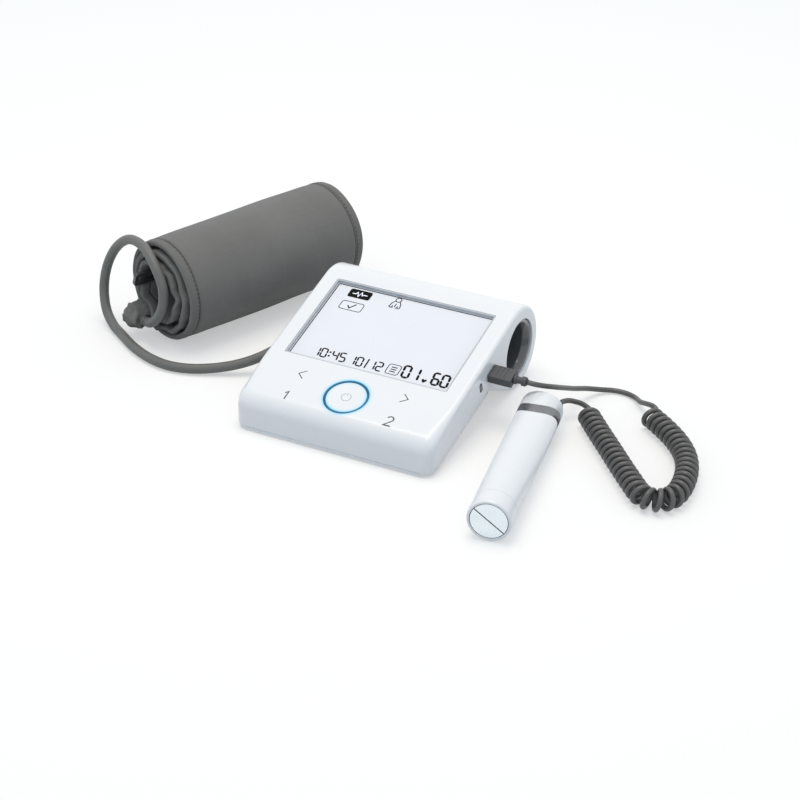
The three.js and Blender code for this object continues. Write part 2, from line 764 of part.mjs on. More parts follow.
function mainBoard() {
  const [w, d] = [boardRight - boardLeft, boardRear - boardFront];
  const board = slab(roundedRectangle(w, d, 2), -boardDepth - boardThickness, -boardDepth, 2);
  const chip = box(-8, 8, -8, 8, -boardDepth - boardThickness - 1.6, -boardDepth - boardThickness + 0.5);
  const link = box(-14, 14, d / 2 - 5, d / 2 - 1, -boardDepth - 0.5, -boardDepth + 1.4);
  const placed = moved(join(board, moved(chip, 12, -4, 0), link), (boardLeft + boardRight) / 2, (boardFront + boardRear) / 2, 0);
  return placed;
}
add(topGroup, 'main_board', mainBoard(), circuitGreen());

const padTop = -wall - gap - 0.4;
for (const [name, x, s] of touchFields) {
  const pad = alongZ(revolve([
    [0, -boardDepth + gap], [1.6, -boardDepth + gap], [1.6, padTop - 2.2], [touchRadius, padTop - 0.6],
    [touchRadius, padTop], [0, padTop],
  ], 16));
  const mesh = add(topGroup, name, pad, paint(0xc98a4b, 0.35, 1));
  mesh.position.set(x, s, 0);
}

const underBoard = -boardDepth - boardThickness - gap;
const valve = alongZ(revolve([[0, -9], [3.6, -9], [4.4, -8.2], [4.4, 0], [0, 0]], 20));
const valveMesh = add(topGroup, 'exhaust_valve', moved(valve, 0, 0, underBoard), paint(0xd8d8d2, 0.4));
valveMesh.position.set(boardLeft + 16, boardFront + 12, 0);
const sensorBody = join(box(-4, 4, -4, 4, -3.4, 0), alongZ(rod(1.4, -7, -3, 12)));
const sensorMesh = add(topGroup, 'pressure_sensor', moved(sensorBody, 0, 0, underBoard), paint(0xe6e2d6, 0.5));
sensorMesh.position.set(boardLeft + 32, boardFront + 12, 0);

// Air pump: motor can and wider pump head with its nozzle, lying in two cradles of the base shell.
const pumpLevel = plateThickness + gap + pumpRadius;
const nozzleDrop = 3;
function airPump() {
  const headLength = pumpLength * 0.42;
  const motorEnd = pumpLength - headLength;
  const body = revolve([
    [0, 0], [2.4, 0], [2.4, 1], [motorRadius, 1.4], [motorRadius, motorEnd], [pumpRadius, motorEnd],
    [pumpRadius, pumpLength - 3], [pumpRadius - 2, pumpLength - 1], [0, pumpLength - 1],
  ], 18);
  const saddle = pipe(pumpRadius, motorRadius - 0.5, 3, 7, 18);
  const nozzle = moved(rod(1.8, pumpLength - 2, pumpLength + 4, 12), -5, 0, nozzleDrop);
  return join(body, saddle, nozzle);
}
const pumpMesh = add(baseGroup, 'air_pump', airPump(), paint(0x9fa3a8, 0.35, 0.6));
pumpMesh.position.set(pumpX, pumpFront, pumpLevel);

function airSocket() {
  const body = alongX(rod(airSocketRadius, -halfWidth + 0.2, airTubeX + 3, 18));
  const collar = alongX(rod(airSocketRadius + 1.6, -innerFaceX + gap, -innerFaceX + gap + 1.6, 18));
  const barb = moved(rod(1.8, -airSocketRadius - 5, 0, 12), airTubeX, 0, 0);
  const bore = alongX(rod(airBore, -halfWidth - 1, airTubeX + 1, 14));
  const feed = moved(rod(0.9, -airSocketRadius - 6, 0, 10), airTubeX, 0, 0);
  return moved(cut(join(body, collar, barb), bore, feed), 0, airSocketY, airSocketZ);
}
add(monitor, 'air_socket', airSocket(), greyPlastic());

// Air tube from the pump's nozzle to the socket's barb, along the left wall.
function airTube() {
  const start = new THREE.Vector3(pumpX - 5, pumpFront + pumpLength + 4 + gap, pumpLevel + nozzleDrop);
  start.applyMatrix4(baseFrame);
  const end = [airTubeX, airSocketY - airSocketRadius - 5 - gap, airSocketZ];
  return sweep([
    start.toArray(),
    [start.x - 0.5, start.y + 5, start.z + 1.3],
    [airTubeX + 1, start.y + 14, start.z + 2],
    [airTubeX, start.y + 26, airSocketZ],
    [airTubeX, end[1] - 6, airSocketZ],
    end,
  ], airTubeRadius, 8, 5);
}
add(monitor, 'air_tube', airTube(), paint(0xd5d8da, 0.5));

// Storage tube: blind liner from the right side, wide at its mouth.
function storageLiner() {
  const floor = -innerFaceX + gap;
  const mouth = halfWidth - 1.2;
  return alongX(revolve([
    [0, floor], [linerBody, floor], [linerBody, mouth - linerLip - 2], [linerRadius, mouth - linerLip],
    [linerRadius, mouth - 0.6], [linerRadius - 0.6, mouth], [linerBore + 2.4, mouth], [linerBore, mouth - 5],
    [linerBore, floor + linerFloor], [0, floor + linerFloor],
  ], 32));
}
const linerMesh = add(monitor, 'storage_liner', storageLiner(), greyPlastic());
linerMesh.position.set(0, tubeY, tubeZ);

// Side socket for the stick's plug and the small slot in front of it.
const socketWidth = plugShellWidth + 2 * (gap + sheetMetal);
const socketHeight = plugShellHeight + 2 * (gap + sheetMetal);
function plugSocket() {
  const face = halfWidth - 0.4;
  const body = bar(roundedRectangle(socketWidth, socketHeight, 0.9), face - socketDepth, face, 3);
  const room = bar(roundedRectangle(plugShellWidth + 2 * gap, plugShellHeight + 2 * gap, 0.6), face - socketRoom, face + 1, 3);
  const tongue = box(face - socketRoom - 1, face - 2, -2.6, 2.6, -0.4, 0.4);
  return join(cut(body, room), tongue);
}
const socketMesh = add(topGroup, 'plug_socket', plugSocket(), steel());
socketMesh.position.set(0, plugS, -plugDrop);
const slotSwitch = join(
  box(innerFaceX - gap - 5, innerFaceX - gap, -2.6, 2.6, -3, 3),
  box(innerFaceX - gap - 1, halfWidth - 0.8, -slotWidth / 2 + gap, slotWidth / 2 - gap, -1.4, 1.4),
);
const slotMesh = add(topGroup, 'slot_switch', slotSwitch, paint(0x151617, 0.5));
slotMesh.position.set(0, slotS, -slotDrop);

// ECG stick, lying on its back. Local Y runs from the chest end to the finger end and local Z is its printed side.
const stick = new THREE.Group();
stick.rotation.z = stickTurn;
stick.position.set(
  stickHead.x + stickLength * Math.sin(stickTurn),
  stickHead.y - stickLength * Math.cos(stickTurn),
  stickRadius + gap,
);
monitor.add(stick);
const stickInner = stickRadius - stickWall;

// Region of the stick from one curve to another, each a height plus a rise towards both sides.
function between(low, lowRise, high, highRise) {
  const reach = stickRadius + 1;
  const points = [];
  const steps = 8;
  for (let i = 0; i <= steps; i++) {
    const x = -reach + (2 * reach * i) / steps;
    points.push([x, low + lowRise * (x / stickRadius) ** 2]);
  }
  for (let i = steps; i >= 0; i--) {
    const x = -reach + (2 * reach * i) / steps;
    points.push([x, high + highRise * (x / stickRadius) ** 2]);
  }
  return slab(polygon(points), -reach, reach);
}

const saddleLow = stickLength - saddleDip - electrodeThickness;
const bandEnd = bandStart + bandHeight;
const hollowEnd = bandEnd + 8;

function stickBody() {
  const tube = pipe(stickRadius, stickInner, endCapLength + gap, stickLength, 28);
  return common(tube, between(0, 0, bandStart - gap / 2, bandSweep));
}

function fingerBand() {
  const tube = pipe(stickRadius, stickInner, endCapLength, stickLength, 28);
  return common(tube, between(bandStart + gap / 2, bandSweep, bandEnd - gap / 2, bandSweep));
}

function saddleCap() {
  const shell = revolve([
    [stickInner, bandEnd - 1], [stickRadius, bandEnd - 1], [stickRadius, stickLength - 1.4],
    [stickRadius - 0.5, stickLength], [0, stickLength + 0.01], [0, bandEnd + 14],
    [stickInner - 2, bandEnd + 12], [stickInner, hollowEnd], [stickInner, bandEnd - 1],
  ], 28);
  const region = between(bandEnd + gap / 2, bandSweep, saddleLow + electrodeThickness, saddleDip);
  const pocket = common(
    rod(electrodeRadius + gap, saddleLow - 10, stickLength + 5, 28),
    between(saddleLow - gap, saddleDip, stickLength + 5, 0),
  );
  const cordHole = moved(rod(2.8 + gap, bandEnd, stickLength + 2, 16), hornX, 0, 0);
  return cut(common(shell, region), pocket, cordHole);
}

function saddleElectrode() {
  const disc = rod(electrodeRadius, saddleLow - 2, stickLength + 5, 28);
  const plate = common(disc, between(saddleLow, saddleDip, saddleLow + electrodeThickness - 0.2, saddleDip));
  return cut(plate, moved(rod(3.4 + gap, bandEnd, stickLength + 5, 16), hornX, 0, 0));
}

function stickEndCap() {
  const cap = revolve([
    [0, 3.2], [electrodeRadius + 0.2, 3.2], [electrodeRadius + 0.2, 0.2], [stickRadius - 1.2, 0.2],
    [stickRadius - 0.3, 1], [stickRadius, 2.6], [stickRadius, endCapLength], [stickInner - gap, endCapLength],
    [stickInner - gap, endCapLength + 4], [stickInner - gap - 1.2, endCapLength + 4],
    [stickInner - gap - 1.2, 5], [0, 5],
  ], 28);
  return cap;
}

function endElectrode(side) {
  const disc = rod(electrodeRadius - gap, 0.5, 3.2 - gap, 28);
  const half = box(-20, 20, -2, 6, electrodeSplit / 2, 20);
  const turn = side > 0 ? 0 : Math.PI;
  return common(disc, turned(half, 0, turn + THREE.MathUtils.degToRad(38), 0));
}

add(stick, 'stick_body', stickBody(), white());
add(stick, 'stick_end_cap', stickEndCap(), white());
add(stick, 'end_electrode_left', endElectrode(1), steel());
add(stick, 'end_electrode_right', endElectrode(-1), steel());
add(stick, 'finger_band', fingerBand(), paint(0x77797c, 0.25, 0.8));
add(stick, 'saddle_cap', saddleCap(), white());
add(stick, 'saddle_electrode', saddleElectrode(), steel());
const boardHalf = Math.sqrt((stickInner - gap) ** 2 - 0.6 ** 2);
const stickBoard = box(-boardHalf, boardHalf, endCapLength + stickBoardInset, bandStart - stickBoardInset, -0.6, 0.6);
add(stick, 'stick_board', stickBoard, circuitGreen());

// Strain relief on the finger end's right horn.
const hornFoot = saddleLow - 4;
const hornEnd = stickLength + 6.5;
const stickBoot = revolve([
  [0, hornFoot], [2.8, hornFoot], [2.8, stickLength], [2.5, stickLength + 0.5], [2.7, stickLength + 2],
  [2.2, hornEnd], [0, hornEnd],
], 16);
add(stick, 'stick_cord_boot', moved(stickBoot, hornX, 0, 0), darkRubber());

// Plug in its socket: metal shell, moulding with a stepped grip and ringed boot.
const plug = new THREE.Group();
plug.position.set(0, plugS, -plugDrop);
topGroup.add(plug);
const plugFace = halfWidth + gap;
const plugRear = plugFace + plugLength;
const bootEnd = plugRear + gap + 9.2;

function plugMoulding() {
  const body = bar(roundedRectangle(plugWidth, plugHeight, 1.1), plugFace, plugRear, 3);
  const grips = [5, 8, 11].map((x) => box(plugFace + x, plugFace + x + 1, -plugWidth / 2 - 1, plugWidth / 2 + 1,
    plugHeight / 2 - 0.3, plugHeight));
  return cut(body, ...grips);
}

function plugShell() {
  const outer = bar(roundedRectangle(plugShellWidth, plugShellHeight, 0.5), plugFace - gap - plugShellLength, plugFace - gap, 2);
  const inner = bar(roundedRectangle(plugShellWidth - 1, plugShellHeight - 1, 0.3), 0, plugFace - gap - 1, 2);
  return cut(outer, inner);
}

add(plug, 'plug_moulding', plugMoulding(), darkRubber());
add(plug, 'plug_shell', plugShell(), steel());
const plugBoot = alongX(revolve([
  [0, plugRear + gap], [3.1, plugRear + gap], [3.1, plugRear + 2], [2.6, plugRear + 2.6], [2.6, bootEnd - 3],
  [3.2, bootEnd - 2.4], [3.2, bootEnd], [0, bootEnd],
], 16));
add(plug, 'plug_boot', plugBoot, darkRubber());

// Route of the stick's cord, from the strain relief to the curls and on to the plug.
const hornTip = new THREE.Vector3(hornX, hornEnd + gap, 0);
stick.updateMatrix();
hornTip.applyMatrix4(stick.matrix);
const stickAlong = new THREE.Vector3(-Math.sin(stickTurn), Math.cos(stickTurn), 0);
const coilRoute = [
  [134.9, 117.1, coilRise], [141.3, 109.4, coilRise], [151.6, 97.3, coilRise], [162.1, 85.4, coilRise],
  [171.4, 74.9, coilRise], [181.3, 63.5, coilRise], [191.8, 51.7, coilRise], [199.2, 43.6, coilRise],
  [204.4, 38.1, coilRise], [208.9, 34.6, coilRise], [214, 33.3, coilRise], [219.2, 34.3, coilRise],
  [223.7, 37.8, coilRise], [226.5, 43.2, coilRise], [227.4, 50.8, coilRise], [226.6, 61.6, coilRise],
  [223.6, 75.3, coilRise], [218.8, 87.6, coilRise], [212.7, 97.8, coilRise], [205, 107.1, coilRise],
  [196.2, 115.5, coilRise], [187.4, 122.7, coilRise], [179.2, 128.8, coilRise], [172, 134.1, coilRise],
];
const coilCurve = new THREE.CatmullRomCurve3(coilRoute.map((p) => new THREE.Vector3(...p)));
const bootTip = new THREE.Vector3(bootEnd + gap, plugS, -plugDrop).applyMatrix4(topFrame);
const shortLeadRoute = [
  hornTip.toArray(),
  hornTip.clone().addScaledVector(stickAlong, 4).toArray(),
  [122.4, 116.4, 13.4],
  [126.6, 121.2, 10.8],
];
const longLeadRoute = [
  bootTip.toArray(), [bootTip.x + 5, bootTip.y + 0.7, 34.9], [111.5, 95.6, 32.8], [115.2, 104.5, 28.4],
  [117.2, 117.5, 21.6], [119.6, 132.5, 14], [123.6, 147, 7.6], [129.8, 156.8, 3.4], [138, 162, 2.1],
  [147, 162.2, 2.1], [155, 158.6, 2.6], [160.8, 151.6, 4.8],
];

// Curly cord: one tube wound about the coil route. The pitch opens in the bend so that its inner side stays clear.
function curlyPath() {
  const length = coilCurve.getLength();
  const run = 2 * cordRadius;
  const samples = 1200;
  const centre = [];
  const tangent = [];
  for (let i = 0; i <= samples; i++) {
    centre.push(coilCurve.getPointAt(i / samples));
    tangent.push(coilCurve.getTangentAt(i / samples));
  }
  let turn = 0;
  const turnAt = [0];
  for (let i = 1; i <= samples; i++) {
    const stretch = length / samples;
    const bend = tangent[i].angleTo(tangent[i - 1]) / stretch;
    const pitch = Math.max(curlPitch, (2 * cordRadius + curlClear) / (1 - bend * curlRadius));
    turn += stretch / pitch;
    turnAt.push(turn);
  }
  const turns = Math.round(turn);
  const points = [];
  const up = new THREE.Vector3(0, 0, 1);
  let sample = 0;
  for (let k = 0; k <= turns * curlSteps; k++) {
    const wanted = (turn * k) / (turns * curlSteps);
    while (sample < samples && turnAt[sample + 1] < wanted) sample += 1;
    const next = Math.min(sample + 1, samples);
    const part01 = next > sample ? (wanted - turnAt[sample]) / (turnAt[next] - turnAt[sample]) : 0;
    const at = centre[sample].clone().lerp(centre[next], part01);
    const along = tangent[sample].clone();
    const side = along.clone().cross(up).normalize();
    const lift = side.clone().cross(along);
    const angle = (2 * Math.PI * k) / curlSteps;
    const fromEnd = Math.min(k, turns * curlSteps - k) / (curlSteps * 0.75);
    const radius = curlRadius * Math.min(1, fromEnd);
    at.addScaledVector(side, radius * Math.sin(angle)).addScaledVector(lift, -radius * Math.cos(angle));
    points.push(at);
  }
  const first = centre[0].clone().addScaledVector(tangent[0], -run);
  const last = centre[samples].clone().addScaledVector(tangent[samples], run);
  return { points: [first, ...points, last], turns };
}

// A tube of few sides through every point, its section carried along without twist.
function tubeThrough(points, radius, sides) {
  const rings = [];
  let side = null;
  points.forEach((point, i) => {
    const before = points[Math.max(i - 1, 0)];
    const after = points[Math.min(i + 1, points.length - 1)];
    const along = after.clone().sub(before).normalize();
    if (!side) side = new THREE.Vector3(0, 0, 1).cross(along).normalize();
    side = side.clone().addScaledVector(along, -side.dot(along)).normalize();
    const lift = along.clone().cross(side);
    const ring = [];
    for (let k = 0; k < sides; k++) {
      const angle = (2 * Math.PI * k) / sides;
      ring.push(point.clone().addScaledVector(side, radius * Math.cos(angle))
        .addScaledVector(lift, radius * Math.sin(angle)).toArray());
    }
    rings.push(ring);
  });
  return ringsToGeometry(rings);
}

// Least distance between the tube's surface and itself, leaving out neighbours along the cord.
function leastSelfGap(points, radius, apart) {
  let least = Infinity;
  const dense = new THREE.CatmullRomCurve3(points).getSpacedPoints(points.length * 3);
  for (let i = 0; i < dense.length; i++) {
    for (let k = i + apart; k < dense.length; k++) least = Math.min(least, dense[i].distanceTo(dense[k]));
  }
  return least - 2 * radius;
}

const curly = curlyPath();
console.log(`curly cord: ${curly.turns} curls, least gap to itself ${leastSelfGap(curly.points, cordRadius, 14).toFixed(2)} mm`);
add(monitor, 'curly_cord', tubeThrough(curly.points, cordRadius, curlSides), darkRubber());
const coilStart = curly.points[0].clone();
const coilIn = curly.points[1].clone().sub(coilStart).normalize();
const coilEnd = curly.points[curly.points.length - 1].clone();
const coilOut = coilEnd.clone().sub(curly.points[curly.points.length - 2]).normalize();
const cordGap = (end, direction) => end.clone().addScaledVector(direction, gap).toArray();
const shortLead = [
  ...shortLeadRoute,
  coilStart.clone().addScaledVector(coilIn, -gap - 2.5).toArray(),
  cordGap(coilStart, coilIn.clone().negate()),
];
add(monitor, 'stick_lead', sweep(shortLead, cordRadius, 8, 5), darkRubber());
const longLead = [
  ...longLeadRoute,
  coilEnd.clone().addScaledVector(coilOut, gap + 2.5).toArray(),
  cordGap(coilEnd, coilOut),
];
add(monitor, 'plug_lead', sweep(longLead, cordRadius, 8, 6), darkRubber());

// Cuff: one padded band rolled up, its turns slipped a little along the roll, with the air bladder in its pocket.
const cuff = new THREE.Group();
cuff.position.set(cuffCentre.x, cuffCentre.y, gap - cuffOuter * Math.sin(THREE.MathUtils.degToRad(cuffEndAngle)));
cuff.rotation.z = cuffTurn;
monitor.add(cuff);
const rollPitch = cuffThickness + cuffSpace;
const rollTotal = cuffTurns * 360;

// Middle radius of the band and slip of its near edge, by degrees back from the outer end.
const rollRadius = (back) => cuffOuter - cuffThickness / 2 - (rollPitch * back) / 360;
const rollSlip = (back) => (-cuffSlip * back) / rollTotal;

function rolledBand(fromBack, toBack, thickness, width, edge, stepDegrees) {
  const steps = Math.ceil((fromBack - toBack) / stepDegrees);
  const rings = [];
  for (let i = 0; i <= steps; i++) {
    const back = fromBack + ((toBack - fromBack) * i) / steps;
    const angle = THREE.MathUtils.degToRad(cuffEndAngle - back);
    const middle = rollRadius(back);
    const [h, w] = [thickness / 2, width / 2];
    const section = [
      [-h, -w + edge], [-h + edge, -w], [h - edge, -w], [h, -w + edge],
      [h, w - edge], [h - edge, w], [-h + edge, w], [-h, w - edge],
    ];
    rings.push(section.map(([r, y]) => [
      (middle + r) * Math.cos(angle), y + rollSlip(back), (middle + r) * Math.sin(angle),
    ]));
  }
  return ringsToGeometry(rings);
}

const portBack = cuffEndAngle - portAngle + 360;
const portMiddle = rollRadius(portBack);
const portAt = new THREE.Vector3(
  portMiddle * Math.cos(THREE.MathUtils.degToRad(portAngle)),
  -cuffWidth / 2 + rollSlip(portBack),
  portMiddle * Math.sin(THREE.MathUtils.degToRad(portAngle)),
);

// The bladder's neck runs to the near edge at the port.
function neck(clear) {
  const half = neckWidth / 2 + clear;
  const block = box(-half, half, -cuffWidth / 2 - 12, -bladderWidth / 2 + 12, -bladderThickness / 2 - clear, bladderThickness / 2 + clear);
  const turn = Math.PI / 2 - THREE.MathUtils.degToRad(portAngle);
  return moved(turned(block, 0, turn, 0), portAt.x, rollSlip(portBack), portAt.z);
}

function cuffBand() {
  const band = rolledBand(rollTotal, 0, cuffThickness, cuffWidth, 1.3, cuffStep);
  const pocket = rolledBand(bladderFrom + 2, bladderTo - 2, bladderThickness + 2 * gap, bladderWidth + 2 * gap, 0.3, cuffStep);
  return cut(band, pocket, neck(gap));
}

function bladder() {
  const bag = rolledBand(bladderFrom, bladderTo, bladderThickness, bladderWidth, 0.8, cuffStep);
  const near = portAt.y + 1;
  const reach = 2 * cuffOuter;
  return cut(join(bag, neck(0)), box(-reach, reach, -cuffWidth, near, -reach, reach));
}

const cuffCloth = paint(0x5c5d5e, 0.95);
add(cuff, 'cuff_band', cuffBand(), cuffCloth);
add(cuff, 'cuff_bladder', bladder(), paint(0x2b2c2e, 0.8));

// Metal bar on the band's inner end, through which the band is pulled tight.
const innerEnd = rollRadius(rollTotal);
function cuffBar() {
  const angle = THREE.MathUtils.degToRad(cuffEndAngle - rollTotal) - (barWidth / 2 + 2 * gap) / innerEnd;
  const lengthOut = cuffWidth / 2 + 5;
  const shape = roundedRectangle(2 * lengthOut, barWidth, 2);
  shape.holes.push(roundedRectangle(2 * (lengthOut - barRod), barWidth - 2 * barRod, 1));
  const ring = moved(turned(slab(shape, -1.3, 1.3), 0, 0, Math.PI / 2), 0, rollSlip(rollTotal), 0);
  const placed = turned(ring, 0, Math.PI / 2 - angle, 0);
  return moved(placed, innerEnd * Math.cos(angle), 0, innerEnd * Math.sin(angle));
}
add(cuff, 'cuff_bar', cuffBar(), paint(0x2a2b2d, 0.3, 0.9));

// Hose port: elbow that stands out of the near edge and turns along the roll's end.
cuff.updateMatrix();
const portWorld = portAt.clone().add(new THREE.Vector3(0, -portReach, 0)).applyMatrix4(cuff.matrix);
const hoseStart = new THREE.Vector3(-200, 77.1, 16.1);
const hoseAim = hoseStart.clone().sub(portWorld).normalize();

function hosePort() {
  const stub = moved(rod(portStub, 0, portReach - gap, 14), portAt.x, portAt.y - portReach, portAt.z);
  const knee = new THREE.SphereGeometry(portRadius, 14, 8).translate(portAt.x, portAt.y - portReach, portAt.z);
  const flange = moved(rod(portRadius + 0.6, -5.2, -3.6, 14), portAt.x, portAt.y, portAt.z);
  const reach = hoseStart.distanceTo(portWorld) - gap;
  const barrel = revolve([
    [0, 0], [portRadius - 0.5, 0], [portRadius - 0.5, reach - 4], [portRadius, reach - 3.2],
    [portRadius, reach], [0, reach],
  ], 14);
  const toCuff = cuff.matrix.clone().invert();
  const aim = hoseAim.clone().transformDirection(toCuff);
  barrel.applyQuaternion(new THREE.Quaternion().setFromUnitVectors(new THREE.Vector3(0, 1, 0), aim));
  barrel.translate(portAt.x, portAt.y - portReach, portAt.z);
  return join(knee, stub, flange, barrel);
}
add(cuff, 'hose_port', hosePort(), greyPlastic());

// Air plug: elbow with a spigot in the socket, its outlet towards the front and down.
const plugKnee = new THREE.Vector3(-halfWidth - gap - 5.4, airSocketY, airSocketZ);
const outletAim = new THREE.Vector3(-0.1, -0.89, -0.45).normalize();
const outletReach = 12;
const airPlugRadius = 5;
const spigotLength = 8;
const outletEnd = plugKnee.clone().addScaledVector(outletAim, outletReach);

function airPlug() {
  const wallSide = -halfWidth - gap;
  const body = alongX(revolve([
    [0, plugKnee.x - 4.6], [3.2, plugKnee.x - 4.4], [airPlugRadius - 0.6, plugKnee.x - 3], [airPlugRadius, plugKnee.x - 1],
    [airPlugRadius, wallSide - 1.6], [airPlugRadius + 1, wallSide - 1.6], [airPlugRadius + 1, wallSide],
    [0, wallSide],
  ], 16));
  const spigot = alongX(rod(airBore - gap, wallSide - 1, wallSide + spigotLength, 16));
  const barrel = revolve([[0, 0], [4.3, 0], [4.3, outletReach - 1], [4, outletReach], [0, outletReach]], 14);
  barrel.applyQuaternion(new THREE.Quaternion().setFromUnitVectors(new THREE.Vector3(0, 1, 0), outletAim));
  barrel.translate(plugKnee.x, 0, 0);
  return moved(join(body, spigot, barrel), 0, airSocketY, airSocketZ);
}
add(monitor, 'air_plug', airPlug(), greyPlastic());

// Route of the hose: a standing loop that leans on the roll's end, along the table and up to the air plug.
const hoseRoute = [
  hoseStart.toArray(), hoseStart.clone().addScaledVector(hoseAim, 4).toArray(), [-188.6, 71.4, 19.2], [-179.4, 68.2, 27.6], [-173.4, 66.6, 40.5], [-173.4, 67.2, 53.8],
  [-181.4, 70.9, 67], [-196.9, 80.8, 74.4], [-216.2, 90.4, 72], [-233.4, 96.4, 57.8], [-242.6, 96.6, 39.6],
  [-243.4, 92.6, 23.6], [-237.6, 86, 11.2], [-227.2, 78.6, 4.9], [-214.4, 70.4, 3.8], [-194.8, 57.8, 3.7],
  [-175.4, 49.4, 3.7], [-158, 46.6, 3.7], [-141.6, 49.6, 3.9], [-126.2, 56.4, 5], [-112.4, 63.6, 7.6],
  [-100.6, 71.2, 11.6], [-90.8, 80, 16.6],
  outletEnd.clone().addScaledVector(outletAim, 4).toArray(),
  outletEnd.clone().addScaledVector(outletAim, gap).toArray(),
];
add(monitor, 'hose', sweep(hoseRoute, hoseRadius, 8, 9.5), paint(0x646668, 0.6));

export default part;
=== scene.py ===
import math

import bmesh
import bpy
from mathutils import Matrix, Vector
from mathutils.noise import noise as noise3


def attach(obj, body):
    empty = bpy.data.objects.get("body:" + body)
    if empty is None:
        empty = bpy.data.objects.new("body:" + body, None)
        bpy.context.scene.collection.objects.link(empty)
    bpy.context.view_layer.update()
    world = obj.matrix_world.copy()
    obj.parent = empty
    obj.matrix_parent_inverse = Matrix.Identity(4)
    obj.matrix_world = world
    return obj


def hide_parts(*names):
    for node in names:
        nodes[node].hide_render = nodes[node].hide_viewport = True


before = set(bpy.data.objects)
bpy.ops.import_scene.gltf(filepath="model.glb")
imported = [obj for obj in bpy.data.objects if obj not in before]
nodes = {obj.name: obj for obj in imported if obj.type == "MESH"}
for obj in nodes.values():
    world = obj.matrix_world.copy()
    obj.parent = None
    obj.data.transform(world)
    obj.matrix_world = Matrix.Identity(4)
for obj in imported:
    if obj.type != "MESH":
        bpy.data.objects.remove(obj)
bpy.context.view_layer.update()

# Sizes and places that several pieces share, in millimetres and degrees. Y starts at the monitor's front edge, and
# the pairs are measured along the tilted top and square to it.
monitor = {
    "frontY": 10, "width": 150, "tilt": 15.3, "topZ": 26.0923, "baseTilt": 13.66, "footProud": 0.8,
    "tubeY": 137.6, "tubeRadius": 30.9, "airY": 104, "airZ": 30.5, "display": (89.75, 0), "button": (23.2, 0),
    "plug": (90, -14.9), "slot": (73.7, -13.9), "ringRadius": 15,
}


# Metres from the part's origin, which lies frontY behind the front edge
def place(point):
    x, y, z = point
    return Vector((x / 1000, (y - monitor["frontY"]) / 1000, z / 1000))


def addObject(name, data):
    made = bpy.data.objects.new(name, data)
    bpy.context.scene.collection.objects.link(made)
    return made


# Camera of the photograph, in metres
photoCamera = {
    "eye": (0.5811473, -1.0354015, 0.7253638),
    "right": (0.8886921, 0.4585044, 0.0),
    "up": (-0.2302787, 0.4463357, 0.8647289),
    "back": (0.3964820, -0.7684778, 0.5022389),
    "lens": 93.04, "sensor": 36.0, "near": 0.05, "far": 50,
}


def placeCamera(spec):
    made = addObject("photo_camera", bpy.data.cameras.new("photo_camera"))
    made.data.lens, made.data.sensor_width = spec["lens"], spec["sensor"]
    made.data.clip_start, made.data.clip_end = spec["near"], spec["far"]
    turn = Matrix((spec["right"], spec["up"], spec["back"])).transposed().to_4x4()
    made.matrix_world = Matrix.Translation(spec["eye"]) @ turn
    bpy.context.scene.camera = made


placeCamera(photoCamera)
print("camera placed")


# Mesh tools. Mending merges what is closer than the distance and turns the faces outwards.
def mendMesh(mesh, distance=0.0):
    work = bmesh.new()
    work.from_mesh(mesh)
    if distance:
        bmesh.ops.remove_doubles(work, verts=work.verts, dist=distance)
        bmesh.ops.dissolve_degenerate(work, edges=work.edges, dist=distance)
    bmesh.ops.recalc_face_normals(work, faces=work.faces)
    if work.calc_volume(signed=True) < 0:
        bmesh.ops.reverse_faces(work, faces=work.faces)
    work.to_mesh(mesh)
    work.free()


def meshObject(name, vertices, faces, smooth=True):
    mesh = bpy.data.meshes.new(name)
    mesh.from_pydata([tuple(place(v)) for v in vertices], [], faces)
    mesh.validate()
    mendMesh(mesh)
    mesh.polygons.foreach_set("use_smooth", [smooth] * len(mesh.polygons))
    return addObject(name, mesh)


# Faces over rows of points with equal counts. The rows end in caps or close on themselves, and so do the counts.
def skinFaces(rows, count, start=0, looped=False, strip=False):
    faces = []
    for r in range(rows if looped else rows - 1):
        here, there = start + r * count, start + (r + 1) % rows * count
        for i in range(count - 1 if strip else count):
            j = (i + 1) % count
            faces.append((here + i, here + j, there + j, there + i))
    if not looped:
        faces += [tuple(first + i for i in range(count)) for first in (start, start + (rows - 1) * count)]
    return faces


def ringsObject(name, rings, smooth=True):
    return meshObject(name, [point for ring in rings for point in ring], skinFaces(len(rings), len(rings[0])), smooth)


def hermite(a, b, leaving, arriving, t):
    return (a * (2 * t ** 3 - 3 * t ** 2 + 1) + leaving * (t ** 3 - 2 * t ** 2 + t)
            + b * (3 * t ** 2 - 2 * t ** 3) + arriving * (t ** 3 - t ** 2))


# Points on a centripetal curve through the given points, as three.js draws it
def curveThrough(points, spacing, steps=40):
    points = [Vector(p) for p in points]
    ends = [points[0] * 2 - points[1]] + points + [points[-1] * 2 - points[-2]]
    fine = []
    for i in range(len(points) - 1):
        p0, p1, p2, p3 = ends[i:i + 4]
        t1, t2, t3 = (max((b - a).length, 1e-6) ** 0.5 for a, b in ((p0, p1), (p1, p2), (p2, p3)))
        m1 = ((p1 - p0) / t1 - (p2 - p0) / (t1 + t2) + (p2 - p1) / t2) * t2
        m2 = ((p2 - p1) / t2 - (p3 - p1) / (t2 + t3) + (p3 - p2) / t3) * t2
        fine += [hermite(p1, p2, m1, m2, k / steps) for k in range(steps)]
    return evenly(fine + [points[-1]], spacing)


